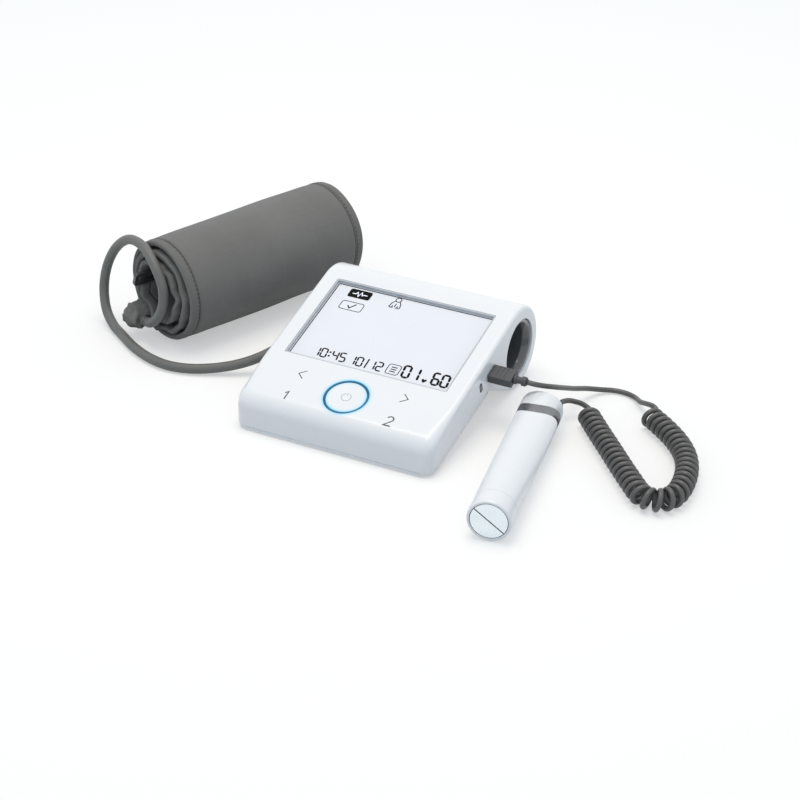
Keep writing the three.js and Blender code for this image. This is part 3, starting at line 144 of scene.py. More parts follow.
def evenly(points, spacing):
    reach = [0.0]
    for a, b in zip(points, points[1:]):
        reach.append(reach[-1] + (b - a).length)
    count = max(2, round(reach[-1] / spacing))
    made, k = [], 0
    for i in range(count + 1):
        wanted = reach[-1] * i / count
        while k < len(points) - 2 and reach[k + 1] < wanted:
            k += 1
        share = (wanted - reach[k]) / max(reach[k + 1] - reach[k], 1e-9)
        made.append(points[k].lerp(points[k + 1], min(max(share, 0), 1)))
    return made


def lengthOf(points):
    return sum((b - a).length for a, b in zip(points, points[1:]))


# Round tube along the points, its section carried without twist
def tubeObject(name, points, radius, sides):
    rings, side = [], None
    turns = [math.tau * k / sides for k in range(sides)]
    for i, point in enumerate(points):
        along = (points[min(i + 1, len(points) - 1)] - points[max(i - 1, 0)]).normalized()
        if side is None:
            side = Vector((0, 0, 1)).cross(along).normalized()
        side = (side - along * side.dot(along)).normalized()
        lift = along.cross(side)
        rings.append([point + side * (radius * math.cos(t)) + lift * (radius * math.sin(t)) for t in turns])
    return ringsObject(name, rings)


def shift(x, y, z):
    return Matrix.Translation((x, y, z))


def spin(degrees, axis):
    return Matrix.Rotation(math.radians(degrees), 4, axis)


# Frames of the tilted top, the base plate, the stick and the rolled cuff
topFrame = shift(0, 0, monitor["topZ"]) @ spin(monitor["tilt"], "X")
baseFrame = shift(0, 0, monitor["footProud"]) @ spin(monitor["baseTilt"], "X")
stickFrame = shift(138.2887, -47.1821, 15.1) @ spin(10.66, "Z")
cuffFrame = shift(-153.5, 157.4, 39.861) @ spin(-22.13, "Z")
toX, toY = spin(90, "Y"), spin(-90, "X")
tubeFrame = shift(0, monitor["tubeY"], monitor["footProud"] + monitor["tubeRadius"]) @ toX


def onTop(key):
    return topFrame @ shift(0, *monitor[key])


# Turned piece about local Z from (radius, height) pairs, which may close on themselves
def turnedObject(name, profile, sides, at, closed=False):
    points = []
    for k in range(sides):
        angle = math.tau * k / sides
        points += [at @ Vector((r * math.cos(angle), r * math.sin(angle), h)) for r, h in profile]
    made = meshObject(name, points, skinFaces(sides, len(profile), looped=True, strip=not closed))
    mendMesh(made.data, 1e-6)
    return made


def rodObject(name, radius, low, high, sides, at):
    return turnedObject(name, [(0, low), (radius, low), (radius, high), (0, high)], sides, at)


def roundedOutline(width, depth, radius, steps=6):
    points = []
    for cx, cy, start in ((1, 1, 0), (-1, 1, 90), (-1, -1, 180), (1, -1, 270)):
        for k in range(steps + 1):
            angle = math.radians(start + 90 * k / steps)
            points.append((cx * (width / 2 - radius) + radius * math.cos(angle),
                           cy * (depth / 2 - radius) + radius * math.sin(angle)))
    return points


# Plate of an outline in local X and Y, and prism of a section in local Y and Z
def plateObject(name, outline, low, high, at):
    return ringsObject(name, [[at @ Vector((x, y, z)) for x, y in outline] for z in (low, high)], smooth=False)


def prismObject(name, section, low, high, at):
    return ringsObject(name, [[at @ Vector((x, y, z)) for y, z in section] for x in (low, high)], smooth=False)


# Takes the cutters out of a piece, or with UNION or INTERSECT joins or keeps them.
def carve(made, cutters, operation="DIFFERENCE"):
    for cutter in cutters:
        step = made.modifiers.new("carve", "BOOLEAN")
        step.operation, step.solver, step.object = operation, "MANIFOLD", cutter
    applyModifiers(made)
    for cutter in cutters:
        data = cutter.data
        bpy.data.objects.remove(cutter)
        bpy.data.meshes.remove(data)


def applyModifiers(made):
    bpy.context.view_layer.update()
    fresh = bpy.data.meshes.new_from_object(made.evaluated_get(bpy.context.evaluated_depsgraph_get()))
    old = made.data
    made.modifiers.clear()
    made.data = fresh
    fresh.name = old.name
    bpy.data.meshes.remove(old)


# Rounds the sharp edges a little and keeps the flats flat. Width 0 keeps the edges and only shades them.
def softenEdges(made, width=0.0, segments=2, angle=40, sharp=50):
    if width:
        edge = made.modifiers.new("edges", "BEVEL")
        edge.width, edge.segments = width / 1000, segments
        edge.limit_method, edge.angle_limit = "ANGLE", math.radians(angle)
        edge.miter_outer = "MITER_ARC"
        edge.use_clamp_overlap = True
    work = bmesh.new()
    work.from_mesh(made.data)
    for face in work.faces:
        face.smooth = True
    for side in work.edges:
        side.smooth = width > 0 or side.calc_face_angle(0) < math.radians(sharp)
    work.to_mesh(made.data)
    work.free()
    flat = made.modifiers.new("flats", "WEIGHTED_NORMAL")
    flat.mode, flat.keep_sharp, flat.weight = "FACE_AREA_WITH_ANGLE", True, 60


# Surfaces. Colours are written as they look, and shared groups give them grain, wear and weave, with painted shade in
# the gaps of the weave.
def linear(code):
    parts = [int(code[i:i + 2], 16) / 255 for i in (0, 2, 4)]
    return (*(part / 12.92 if part <= 0.04045 else ((part + 0.055) / 1.055) ** 2.4 for part in parts), 1)


def feed(tree, sockets, values):
    for key, value in values.items():
        if isinstance(value, bpy.types.NodeSocket):
            tree.links.new(value, sockets[key])
        else:
            sockets[key].default_value = value


# Adds a node with its settings and inputs, and gives its outputs.
def putNode(tree, kind, values=None, **settings):
    node = tree.nodes.new("ShaderNode" + kind)
    for name, value in settings.items():
        setattr(node, name, value)
    feed(tree, node.inputs, values or {})
    return node.outputs


def newGroup(name, **inputs):
    tree = bpy.data.node_groups.new(name, "ShaderNodeTree")
    for label, value in inputs.items():
        kind = "NodeSocketColor" if label == "Colour" else "NodeSocketFloat"
        tree.interface.new_socket(name=label, in_out="INPUT", socket_type=kind).default_value = value
    return tree, tree.nodes.new("NodeGroupInput").outputs, putNode(tree, "TexCoord")["Object"]


def giveOut(tree, **values):
    for label in values:
        kind = "NodeSocketColor" if label in ("Colour", "Glow") else "NodeSocketFloat"
        tree.interface.new_socket(name=label, in_out="OUTPUT", socket_type=kind)
    feed(tree, tree.nodes.new("NodeGroupOutput").inputs, values)
    return tree


def sums(tree, operation, a, b=0.0, clamp=False):
    return putNode(tree, "Math", {0: a, 1: b}, operation=operation, use_clamp=clamp)[0]


def plus(tree, a, b, clamp=False):
    return sums(tree, "ADD", a, b, clamp)


def times(tree, a, b, clamp=False):
    return sums(tree, "MULTIPLY", a, b, clamp)


# How far a value lies from its middle, scaled
def swing(tree, value, middle, amount):
    return times(tree, sums(tree, "SUBTRACT", value, middle), amount)


def vectors(tree, operation, a, b=(0, 0, 0)):
    made = putNode(tree, "VectorMath", {0: a, 1: b}, operation=operation)
    return made["Value"] if operation == "LENGTH" else made["Vector"]


def blend(tree, share, first, second, kind="MIX"):
    return putNode(tree, "Mix", {0: share, 6: first, 7: second}, data_type="RGBA", blend_type=kind)[2]


# Noise of one scale, or of one for each direction
def noise(tree, at, scale, detail=2.0, rough=0.5):
    if isinstance(scale, tuple):
        at, scale = vectors(tree, "MULTIPLY", at, scale), 1.0
    return putNode(tree, "TexNoise", {"Vector": at, "Scale": scale, "Detail": detail, "Roughness": rough})["Fac"]


def between(tree, value, low, high, start=0.0, stop=1.0):
    values = dict(enumerate((value, low, high, start, stop)))
    return putNode(tree, "MapRange", values, interpolation_type="SMOOTHSTEP")[0]


def specks(tree, at, scale, low, high):
    return between(tree, putNode(tree, "TexVoronoi", {"Vector": at, "Scale": scale})["Distance"], low, high)


# Moulded plastic: fine spark-eroded grain, faint sink marks, handling smears and a few dust specks
def mouldedSkin():
    tree, given, at = newGroup("moulded_skin", Colour=(0.8, 0.8, 0.8, 1), Roughness=0.3, Mottle=0.1, Grain=1400.0)
    broad, grain = noise(tree, at, 16.0), noise(tree, at, given["Grain"])
    smear = noise(tree, at, (40, 130, 70), 4.0, 0.6)
    tone = times(tree, between(tree, broad, 0.3, 0.7), given["Mottle"])
    dark = blend(tree, 1.0, given["Colour"], (0.86, 0.88, 0.9, 1), "MULTIPLY")
    dust = times(tree, specks(tree, at, 330.0, 0.045, 0.03), 0.12)
    rough = plus(tree, given["Roughness"], swing(tree, grain, 0.5, 0.12))
    return giveOut(tree, Colour=blend(tree, dust, blend(tree, tone, given["Colour"], dark), (0.45, 0.44, 0.42, 1)),
                   Roughness=plus(tree, rough, swing(tree, smear, 0.45, 0.1), True),
                   Height=plus(tree, times(tree, grain, 0.35), times(tree, broad, 0.65)))


# Soft rubber or vinyl: matt bloom, pores, and paler scuffs where it is handled
def rubberSkin():
    tree, given, at = newGroup("rubber_skin", Colour=(0.1, 0.1, 0.1, 1), Roughness=0.5, Bloom=0.3)
    pores, cloud = noise(tree, at, 2600.0), noise(tree, at, 70.0, 4.0, 0.6)
    scuff = between(tree, noise(tree, at, (220, 90, 300), 5.0, 0.7), 0.62, 0.72)
    pale = blend(tree, 1.0, given["Colour"], (0.055, 0.057, 0.06, 1), "ADD")
    share = times(tree, between(tree, cloud, 0.35, 0.7), given["Bloom"])
    share = plus(tree, share, times(tree, scuff, 0.35), True)
    rough = plus(tree, given["Roughness"], swing(tree, cloud, 0.5, 0.25))
    return giveOut(tree, Colour=blend(tree, share, given["Colour"], pale),
                   Roughness=plus(tree, rough, times(tree, scuff, 0.12), True),
                   Height=plus(tree, times(tree, pores, 0.5), times(tree, cloud, 0.5)))


# Plain weave on a UV map in metres: threads over and under, each with its own tone, painted shade in the gaps between
# them, and lint
def clothWeave():
    tree, given, at = newGroup("cloth_weave", Colour=(0.1, 0.1, 0.1, 1), Pitch=0.0007, Contrast=0.3)
    sheet = putNode(tree, "TexCoord")["UV"]
    wander = putNode(tree, "TexNoise", {"Vector": sheet, "Scale": 45.0, "Detail": 2.0})["Color"]
    drift = vectors(tree, "MULTIPLY", vectors(tree, "SUBTRACT", wander, (0.5,) * 3), (0.0016,) * 3)
    axes = putNode(tree, "SeparateXYZ", {0: vectors(tree, "ADD", sheet, drift)})
    turns = [times(tree, sums(tree, "DIVIDE", axes[i], given["Pitch"]), math.pi) for i in (0, 1)]
    sines = [sums(tree, "SINE", turn) for turn in turns]
    crowns = [sums(tree, "ABSOLUTE", sums(tree, "COSINE", turn)) for turn in turns]
    over = times(tree, between(tree, times(tree, *sines), -0.35, 0.35), 0.65)
    threads = sums(tree, "MAXIMUM", times(tree, crowns[0], plus(tree, 0.35, over)),
                   times(tree, crowns[1], sums(tree, "SUBTRACT", 1.0, over)))
    streaks = [times(tree, noise(tree, sheet, scale), 0.25) for scale in ((1400, 14, 1), (14, 1400, 1))]
    light = plus(tree, plus(tree, *streaks), times(tree, noise(tree, at, 24.0, 4.0, 0.55), 0.5))
    # dark is the colour of the painted shade in the gaps between threads; bright is the paler tone of some threads
    dark, bright = (blend(tree, 1.0, given["Colour"], shade, "MULTIPLY")
                    for shade in ((0.55, 0.55, 0.56, 1), (1.2, 1.2, 1.21, 1)))
    body = blend(tree, between(tree, light, 0.35, 0.65), given["Colour"], bright)
    # Painted shade: where the threads' height is low, in the gaps between them, the colour is darkened by Contrast
    groove = times(tree, sums(tree, "SUBTRACT", 1.0, threads), given["Contrast"], True)
    lint = between(tree, noise(tree, sheet, (900, 240, 1), 3.0, 0.7), 0.72, 0.78)
    body = blend(tree, groove, body, dark)
    return giveOut(tree, Colour=blend(tree, times(tree, lint, 0.3), body, (0.4, 0.4, 0.4, 1)),
                   Roughness=sums(tree, "SUBTRACT", 0.93, times(tree, threads, 0.16)), Height=threads)


# Rolled or brushed metal: long fine scratches, tarnish clouds and smudges
def brushedGrain():
    tree, given, at = newGroup("brushed_grain", Colour=(0.6, 0.6, 0.6, 1), Roughness=0.3, Tarnish=0.3)
    lines, cloud = noise(tree, at, (160, 5200, 5200), 3.0, 0.6), noise(tree, at, 90.0, 4.0, 0.6)
    dull = blend(tree, 1.0, given["Colour"], (0.62, 0.6, 0.57, 1), "MULTIPLY")
    share = times(tree, between(tree, cloud, 0.45, 0.75), given["Tarnish"])
    rough = plus(tree, given["Roughness"], swing(tree, lines, 0.5, 0.3))
    return giveOut(tree, Colour=blend(tree, share, given["Colour"], dull),
                   Roughness=plus(tree, rough, times(tree, share, 0.4), True), Height=lines)


# Solder-masked board: masked copper tracks in two directions, and vias
def boardTracks():
    tree, given, at = newGroup("board_tracks", Colour=(0.02, 0.15, 0.06, 1), Roughness=0.35)
    tracks = [putNode(tree, "Math", {0: noise(tree, at, size, 1.0), 1: 0.5, 2: 0.035}, operation="COMPARE")[0]
              for size in ((700, 90, 60), (90, 700, 60))]
    copper = sums(tree, "MAXIMUM", *tracks)
    body = blend(tree, copper, given["Colour"], blend(tree, 1.0, given["Colour"], (0.03, 0.09, 0.03, 1), "ADD"))
    hole = times(tree, specks(tree, at, 260.0, 0.14, 0.1), 0.7)
    return giveOut(tree, Colour=blend(tree, hole, body, (0.55, 0.5, 0.32, 1)),
                   Roughness=sums(tree, "SUBTRACT", given["Roughness"], times(tree, copper, 0.08)), Height=copper)


# Lit window: even pale light, a little dimmer towards the rim, with the pixel rows of the panel
def litPanel():
    tree, given, at = newGroup("lit_panel", Colour=(0.8, 0.9, 1, 1), Roughness=0.12, Light=0.3)
    axes, cloud = putNode(tree, "SeparateXYZ", {0: at}), noise(tree, at, 22.0)
    rim = between(tree, sums(tree, "ABSOLUTE", axes[0]), 0.045, 0.066, 1.0, 0.975)
    rows = sums(tree, "ABSOLUTE", sums(tree, "SINE", times(tree, axes[1], 9000.0)))
    even = times(tree, rim, between(tree, cloud, 0.2, 0.8, 0.97, 1.0))
    even = times(tree, even, plus(tree, 0.985, times(tree, rows, 0.015)))
    return giveOut(tree, Colour=blend(tree, even, (0, 0, 0, 1), given["Colour"]),
                   Glow=blend(tree, times(tree, even, given["Light"]), (0, 0, 0, 1), given["Colour"]),
                   Roughness=plus(tree, given["Roughness"], times(tree, cloud, 0.05)), Height=rows)


# Light that the ring lens throws on the plastic beside it, by distance from the button's edge
def ringGlow():
    tree, given, at = newGroup("ring_glow", Colour=(0.8, 0.8, 0.8, 1), Light=0.5, Spread=1.6)
    fromButton = vectors(tree, "SUBTRACT", at, tuple(place(onTop("button").translation)))
    turned = putNode(tree, "VectorRotate", {"Vector": fromButton, "Angle": -math.radians(monitor["tilt"])},
                     rotation_type="X_AXIS")[0]
    reach = vectors(tree, "LENGTH", vectors(tree, "MULTIPLY", turned, (1000, 1000, 0)))
    away = sums(tree, "DIVIDE", sums(tree, "SUBTRACT", reach, monitor["ringRadius"]), given["Spread"])
    fall = sums(tree, "POWER", math.exp(-1), times(tree, away, away))
    shown = between(tree, putNode(tree, "SeparateXYZ", {0: turned})[2], -0.004, -0.002)
    share = times(tree, times(tree, fall, shown), given["Light"])
    return giveOut(tree, Colour=blend(tree, share, given["Colour"], (0.08, 0.5, 0.8, 1)),
                   Glow=blend(tree, share, (0, 0, 0, 1), (0.0, 0.2, 0.34, 1)))


groupMakers = (mouldedSkin, rubberSkin, clothWeave, brushedGrain, boardTracks, litPanel, ringGlow)
groups = {made.name: made for made in (maker() for maker in groupMakers)}

# By group: each finish with the group's inputs in their order, the depth of its relief in micrometres, and the
# shader's plain values
gloss = {"Coat Weight": 0.35, "Coat Roughness": 0.06}
metal = {"Metallic": 1.0}
finishTable = {
    "moulded_skin": {
        "white_housing": ("eef0f4", 0.3, 0.12, 1500, 30, gloss),
        "grey_plastic": ("5a5c5f", 0.28, 0.3, 1200, 30, gloss),
        "black_plastic": ("232325", 0.5, 0.4, 1100, 50, {}),
        "inner_plastic": ("d6d3c6", 0.45, 0.35, 900, 60, {}),
        "liner_plastic": ("5e6063", 0.14, 0.3, 1200, 30, {"Coat Weight": 0.6, "Coat Roughness": 0.04}),
        "ring_lens": ("0d3f5e", 0.2, 0.3, 2200, 20, {"Coat Weight": 0.5, "Coat Roughness": 0.05}),
        "cell_wrap": ("2c3d55", 0.3, 0.4, 700, 40, gloss),
        "dark_ink": ("08090c", 0.5, 0.2, 2000, 10, {"Specular IOR Level": 0.08}),
        "key_ink": ("50535a", 0.45, 0.2, 2000, 10, {}),
        "pale_ink": ("aaaeb5", 0.45, 0.2, 2000, 10, {}),
    },
    "rubber_skin": {
        "dark_rubber": ("3c3d3f", 0.62, 0.4, 50, {}),
        "plug_rubber": ("424447", 0.5, 0.3, 50, {}),
        "cord_jacket": ("525151", 0.34, 0.25, 40, {"Specular IOR Level": 0.6}),
        "hose_rubber": ("6b6b69", 0.44, 0.3, 50, {"Specular IOR Level": 0.4}),
        "bladder_rubber": ("2a2a2b", 0.6, 0.5, 60, {}),
        "seam_thread": ("434342", 0.8, 0.3, 50, {"Specular IOR Level": 0.2, "Sheen Weight": 0.1}),
        "bar_metal": ("333436", 0.35, 0.2, 40, {"Coat Weight": 0.5, "Coat Roughness": 0.2}),
        "gasket": ("c3c8ce", 0.5, 0.3, 40, {}),
        "clear_tube": ("cdd1d5", 0.3, 0.3, 30, {"Transmission Weight": 0.35, "IOR": 1.42}),
    },
    # Cloth: colour, thread pitch, and the strength of the painted shade between threads
    "cloth_weave": {
        "cuff_fabric": ("777674", 0.0008, 0.5, 160,
                        {"Specular IOR Level": 0.25, "Sheen Weight": 0.2, "Sheen Roughness": 0.45}),
        "cuff_tape": ("757472", 0.0011, 0.7, 200,
                      {"Specular IOR Level": 0.3, "Sheen Weight": 0.1, "Sheen Roughness": 0.5}),
    },
    "brushed_grain": {
        "pump_metal": ("b9babd", 0.34, 0.4, 20, metal),
        "band_metal": ("85888c", 0.3, 0.3, 10, metal),
        "electrode_steel": ("e4edf2", 0.3, 0.15, 10, metal),
        "bright_steel": ("d2d4d8", 0.25, 0.2, 10, metal),
        "pad_copper": ("c8894f", 0.35, 0.5, 20, metal),
    },
    "lit_panel": {
        "display_glass": ("e6e8f0", 0.1, 0.06, 4, {"Coat Weight": 0.6, "Coat Roughness": 0.03}),
        "light_guide": ("eaf0ff", 0.4, 0.4, 10, {}),
    },
    "board_tracks": {"circuit_board": ("1b5a35", 0.35, 40, {"Coat Weight": 0.3})},
}
ringLit = {"white_housing": (0.95, 1.8), "ring_lens": (0.05, 3.0)}  # strength and spread of the ring's light on them


def makeFinish(name, group, values, relief, plain):
    coat = bpy.data.materials.new(name)
    coat.use_nodes = True
    tree = coat.node_tree
    skin = putNode(tree, "Group", dict(enumerate((linear(values[0]), *values[1:]))), node_tree=groups[group])
    bump = putNode(tree, "Bump", {"Strength": 1.0, "Distance": relief / 1e6, "Height": skin["Height"]})
    inputs = {"Base Color": skin["Colour"], "Roughness": skin["Roughness"], "Normal": bump[0], **plain}
    lit = skin
    if name in ringLit:
        lit = putNode(tree, "Group", dict(enumerate((skin["Colour"], *ringLit[name]))), node_tree=groups["ring_glow"])
        inputs["Base Color"] = lit["Colour"]
    if "Glow" in lit:
        inputs.update({"Emission Color": lit["Glow"], "Emission Strength": 1.0})
    feed(tree, tree.nodes["Principled BSDF"].inputs, inputs)
    return coat


finishes = {name: makeFinish(name, group, values, relief, plain)
            for group, rows in finishTable.items() for name, (*values, relief, plain) in rows.items()}


def finish(made, *names):
    made.data.materials.clear()
    for name in names:
        made.data.materials.append(finishes[name])
    return made


# Seats a piece on its body, and in place of its solids.
def seat(made, body, slot, *solids):
    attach(made, body)
    if solids:
        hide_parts(*solids)
    return made


print("finishes made", len(finishes))


# Cords: the routes are the same as in the solid model.
stickCord = {
    "radius": 1.85, "sides": 14, "curlRadius": 6.1, "curlPitch": 6.0, "curlClear": -0.45, "spread": 34,
    "stepsPerCurl": 28, "skip": (27, 21), "pull": (1.5, 0.9), "rise": 8.1,
    "stickLead": [(120.459, 104.843, 15.1), (119.719, 108.774, 15.1), (122.4, 116.4, 13.4), (126.6, 121.2, 10.8)],
    "coil": [
        (134.9, 117.1), (141.3, 109.4), (151.6, 97.3), (162.1, 85.4), (171.4, 74.9), (181.3, 63.5),
        (191.8, 51.7), (199.2, 43.6), (204.4, 38.1), (208.9, 34.6), (214, 33.3), (219.2, 34.3), (223.7, 37.8),
        (226.5, 43.2), (227.4, 50.8), (226.6, 61.6), (223.6, 75.3), (218.8, 87.6), (212.7, 97.8), (205, 107.1),
        (196.2, 115.5), (187.4, 122.7), (179.2, 128.8), (172, 134.1),
    ],
    "plugLead": [
        (102.1, 90.742, 35.469), (107.1, 91.442, 34.9), (111.5, 95.6, 32.8), (115.2, 104.5, 28.4),
        (117.2, 117.5, 21.6), (119.6, 132.5, 14), (123.6, 147, 7.6), (129.8, 156.8, 3.4), (138, 162, 2.1),
        (147, 162.2, 2.1), (155, 158.6, 2.6), (160.8, 151.6, 4.8),
    ],
}


# Helix about the coil route. Its pitch opens in the bend, so that the curls' inner side stays clear.
def curls(spec):
    centre = curveThrough([(x, y, spec["rise"]) for x, y in spec["coil"]], 0.15)
    count = len(centre) - 1
    stretch = lengthOf(centre) / count
    tangents = [(centre[min(i + 1, count)] - centre[max(i - 1, 0)]).normalized() for i in range(count + 1)]
    turnAt = [0.0]
    for i in range(1, count + 1):
        low, high = max(i - spec["spread"], 0), min(i + spec["spread"], count)
        bend = tangents[high].angle(tangents[low]) / (stretch * (high - low))
        closest = (2 * spec["radius"] + spec["curlClear"]) / (1 - bend * spec["curlRadius"])
        turnAt.append(turnAt[-1] + stretch / max(spec["curlPitch"], closest))
    made, sample = [], 0
    total = round(turnAt[-1]) * spec["stepsPerCurl"]
    for k in range(spec["skip"][0], total + 1 - spec["skip"][1]):
        wanted = turnAt[-1] * k / total
        while sample < count - 1 and turnAt[sample + 1] < wanted:
            sample += 1
        share = (wanted - turnAt[sample]) / (turnAt[sample + 1] - turnAt[sample])
        at = centre[sample].lerp(centre[sample + 1], min(max(share, 0), 1))
        side = tangents[sample].cross(Vector((0, 0, 1))).normalized()
        lift = side.cross(tangents[sample])
        angle, reach = math.tau * k / spec["stepsPerCurl"], spec["curlRadius"]
        made.append(at + side * (reach * math.sin(angle)) - lift * (reach * math.cos(angle)))
    return made


# Smooth run from the end of one stretch to the start of the next
def bridge(before, after, pull, steps=60):
    a, b = before[-1], after[0]
    reach = (b - a).length * pull
    leaving, arriving = (a - before[-2]).normalized() * reach, (after[1] - b).normalized() * reach
    made = [hermite(a, b, leaving, arriving, k / steps) for k in range(1, steps)]
    return evenly([a] + made + [b], 1.2)[1:-1]


def stickCordPath(spec):
    wound = curls(spec)
    lead = curveThrough(spec["stickLead"], 1.2)
    tail = curveThrough(spec["plugLead"], 1.5)[::-1]
    return lead + bridge(lead, wound, spec["pull"][0]) + wound + bridge(wound, tail, spec["pull"][1]) + tail


cordPath = stickCordPath(stickCord)
stickCordPiece = finish(tubeObject("stick_cord", cordPath, stickCord["radius"], stickCord["sides"]), "cord_jacket")
seat(stickCordPiece, "ecg_stick", "cord_jacket", "stick_lead", "curly_cord", "plug_lead")
print("stick cord", round(lengthOf(cordPath)), "mm")

hose = {
    "radius": 3.6, "sides": 20,
    "route": [
        (-200, 77.1, 16.1), (-196.1, 76.3, 16.2), (-188.6, 71.4, 19.2), (-179.4, 68.2, 27.6), (-173.4, 66.6, 40.5),
        (-173.4, 67.2, 53.8), (-181.4, 70.9, 67), (-196.9, 80.8, 74.4), (-216.2, 90.4, 72), (-233.4, 96.4, 57.8),
        (-242.6, 96.6, 39.6), (-243.4, 92.6, 23.6), (-237.6, 86, 11.2), (-227.2, 78.6, 4.9), (-214.4, 70.4, 3.8),
        (-194.8, 57.8, 3.7), (-175.4, 49.4, 3.7), (-158, 46.6, 3.7), (-141.6, 49.6, 3.9), (-126.2, 56.4, 5),
        (-112.4, 63.6, 7.6), (-100.6, 71.2, 11.6), (-90.8, 80, 16.6), (-82.3, 89.76, 23.3), (-81.93, 93.05, 24.965),
    ],
}
hosePath = curveThrough(hose["route"], 2)
hosePiece = finish(tubeObject("air_hose", hosePath, hose["radius"], hose["sides"]), "hose_rubber")
seat(hosePiece, "air_line", "hose_rubber", "hose")

# Elbow of the air hose: body with a flange and spigot, and a ribbed outlet that holds the hose
airElbow = {
    "body": [(0, -85.4), (2.2, -85.36), (3.5, -85.0), (4.4, -84.2), (4.85, -83.1), (5, -81.7), (5, -77.0),
             (5.15, -76.9), (5.8, -76.9), (6, -76.7), (6, -75.5), (5.8, -75.3), (2.20, -75.3), (2.20, -67.7),
             (1.90, -67.3), (0, -67.3)],
    "outlet": [(0, 0), (4.3, 0), (4.3, 5.2), (4.45, 5.5), (4.45, 6.1), (4.2, 6.4), (4.2, 7.2), (4.45, 7.5),
               (4.45, 8.1), (4.2, 8.4), (4.2, 9.2), (4.45, 9.5), (4.45, 10.1), (4.25, 10.6), (4.1, 11.7), (3.9, 12),
               (0, 12)],
    "kneeX": -80.7, "aim": (-0.1, -0.89, -0.45),
}


def buildElbow(spec):
    made = turnedObject("air_elbow", spec["body"], 56, shift(0, monitor["airY"], monitor["airZ"]) @ toX)
    turn = Vector(spec["aim"]).to_track_quat("Z", "Y").to_matrix().to_4x4()
    knee = shift(spec["kneeX"], monitor["airY"], monitor["airZ"])
    carve(made, [turnedObject("outlet", spec["outlet"], 48, knee @ turn)], "UNION")
    softenEdges(made, 0.25, 2, 50)
    return finish(made, "hose_rubber")


elbowPiece = seat(buildElbow(airElbow), "air_line", "hose_rubber", "air_plug")
print("hose", round(lengthOf(hosePath)), "mm")


# Housing: side outline of nose, tilted top, storage tube, flank and knee, rounded over at both ends
housing = {
    **monitor, "flankTilt": 25, "kneeY": 88.5, "noseRadius": 13, "cornerRadius": 9, "edgeRadius": 3.6,
    "roundness": 0.86, "wall": 2.4, "plate": 2, "gap": 0.3, "displaySize": (124.4, 80.5), "buttonHole": 15.8,
    "flangeSeat": 18.2, "boreRadius": 21.7, "plugSize": (5.6, 10.6), "slotSize": (4.4, 1.8), "airRadius": 5.3,
    "footRadius": 7.3, "footTop": 1.9, "footX": 52, "screws": [(65, 8), (-65, 8), (69, 69), (-69, 69)],
    "postRadius": 2.7, "postFoot": 5.5, "screwRadius": 1.4, "screwReach": (4.5, 16.5),
}


def arc(cy, cz, radius, start, stop, count):
    angles = [math.radians(start + (stop - start) * i / count) for i in range(count + 1)]
    return [(cy + radius * math.cos(angle), cz + radius * math.sin(angle)) for angle in angles]


def sideOutline(spec, noseSteps=18, tubeSteps=72):
    tilt, r = math.radians(spec["tilt"]), spec["noseRadius"]
    nose = arc(r, spec["topZ"] + r * math.tan(tilt) - r / math.cos(tilt), r, 180, 90 + spec["tilt"], noseSteps)
    tube = arc(spec["tubeY"], spec["footProud"] + spec["tubeRadius"], spec["tubeRadius"],
               90 + spec["tilt"], -90 - spec["flankTilt"], tubeSteps)
    (y0, z0), (y1, z1) = nose[-1], tube[0]
    middle = [(y0 + (y1 - y0) * t, z0 + (z1 - z0) * t) for t in (0.03, 0.06, 0.09, 0.12, 0.16, 0.2, 0.26)]
    front = [(0, -2 * r + (nose[0][1] + 2 * r) * t) for t in (0, 0.5)]
    kneeZ = spec["footProud"] + spec["kneeY"] * math.tan(math.radians(spec["baseTilt"]))
    return front + nose + middle + tube + [(spec["kneeY"], kneeZ), (spec["kneeY"], -2 * r)]


def ease(value, low, high):
    t = min(max((value - low) / (high - low), 0.0), 1.0)
    return t * t * (3 - 2 * t)


# Rounding of the ends: wide at the nose and small along the rest
def edgeAt(spec, y):
    t = ease(y, spec["noseRadius"] * 0.3, spec["noseRadius"] * 3.2)
    return spec["cornerRadius"] + (spec["edgeRadius"] - spec["cornerRadius"]) * t


def softEdged(name, spec, outline, inset, steps):
    inward = []
    for (py, pz), (y, z), (ny, nz) in zip(outline[-1:] + outline, outline, outline[1:] + outline[:1]):
        before = Vector((z - pz, py - y)).normalized()
        after = Vector((nz - z, y - ny)).normalized()
        inward.append((before + after) / (1 + before.dot(after)))
    rings = []
    for side in (-1, 1):
        for k in range(steps + 1):
            turn = math.pi / 2 * ((1 - k / steps) if side < 0 else k / steps)
            down, across = 1 - max(math.cos(turn), 0) ** spec["roundness"], 1 - math.sin(turn) ** spec["roundness"]
            ring = []
            for (y, z), toward in zip(outline, inward):
                radius = max(edgeAt(spec, y) - inset, 0.8)
                depth = inset + radius * down
                x = side * (spec["width"] / 2 - inset - radius * across)
                ring.append(Vector((x, y + toward.x * depth, z + toward.y * depth)))
            rings.append(ring)
    return ringsObject(name, rings)


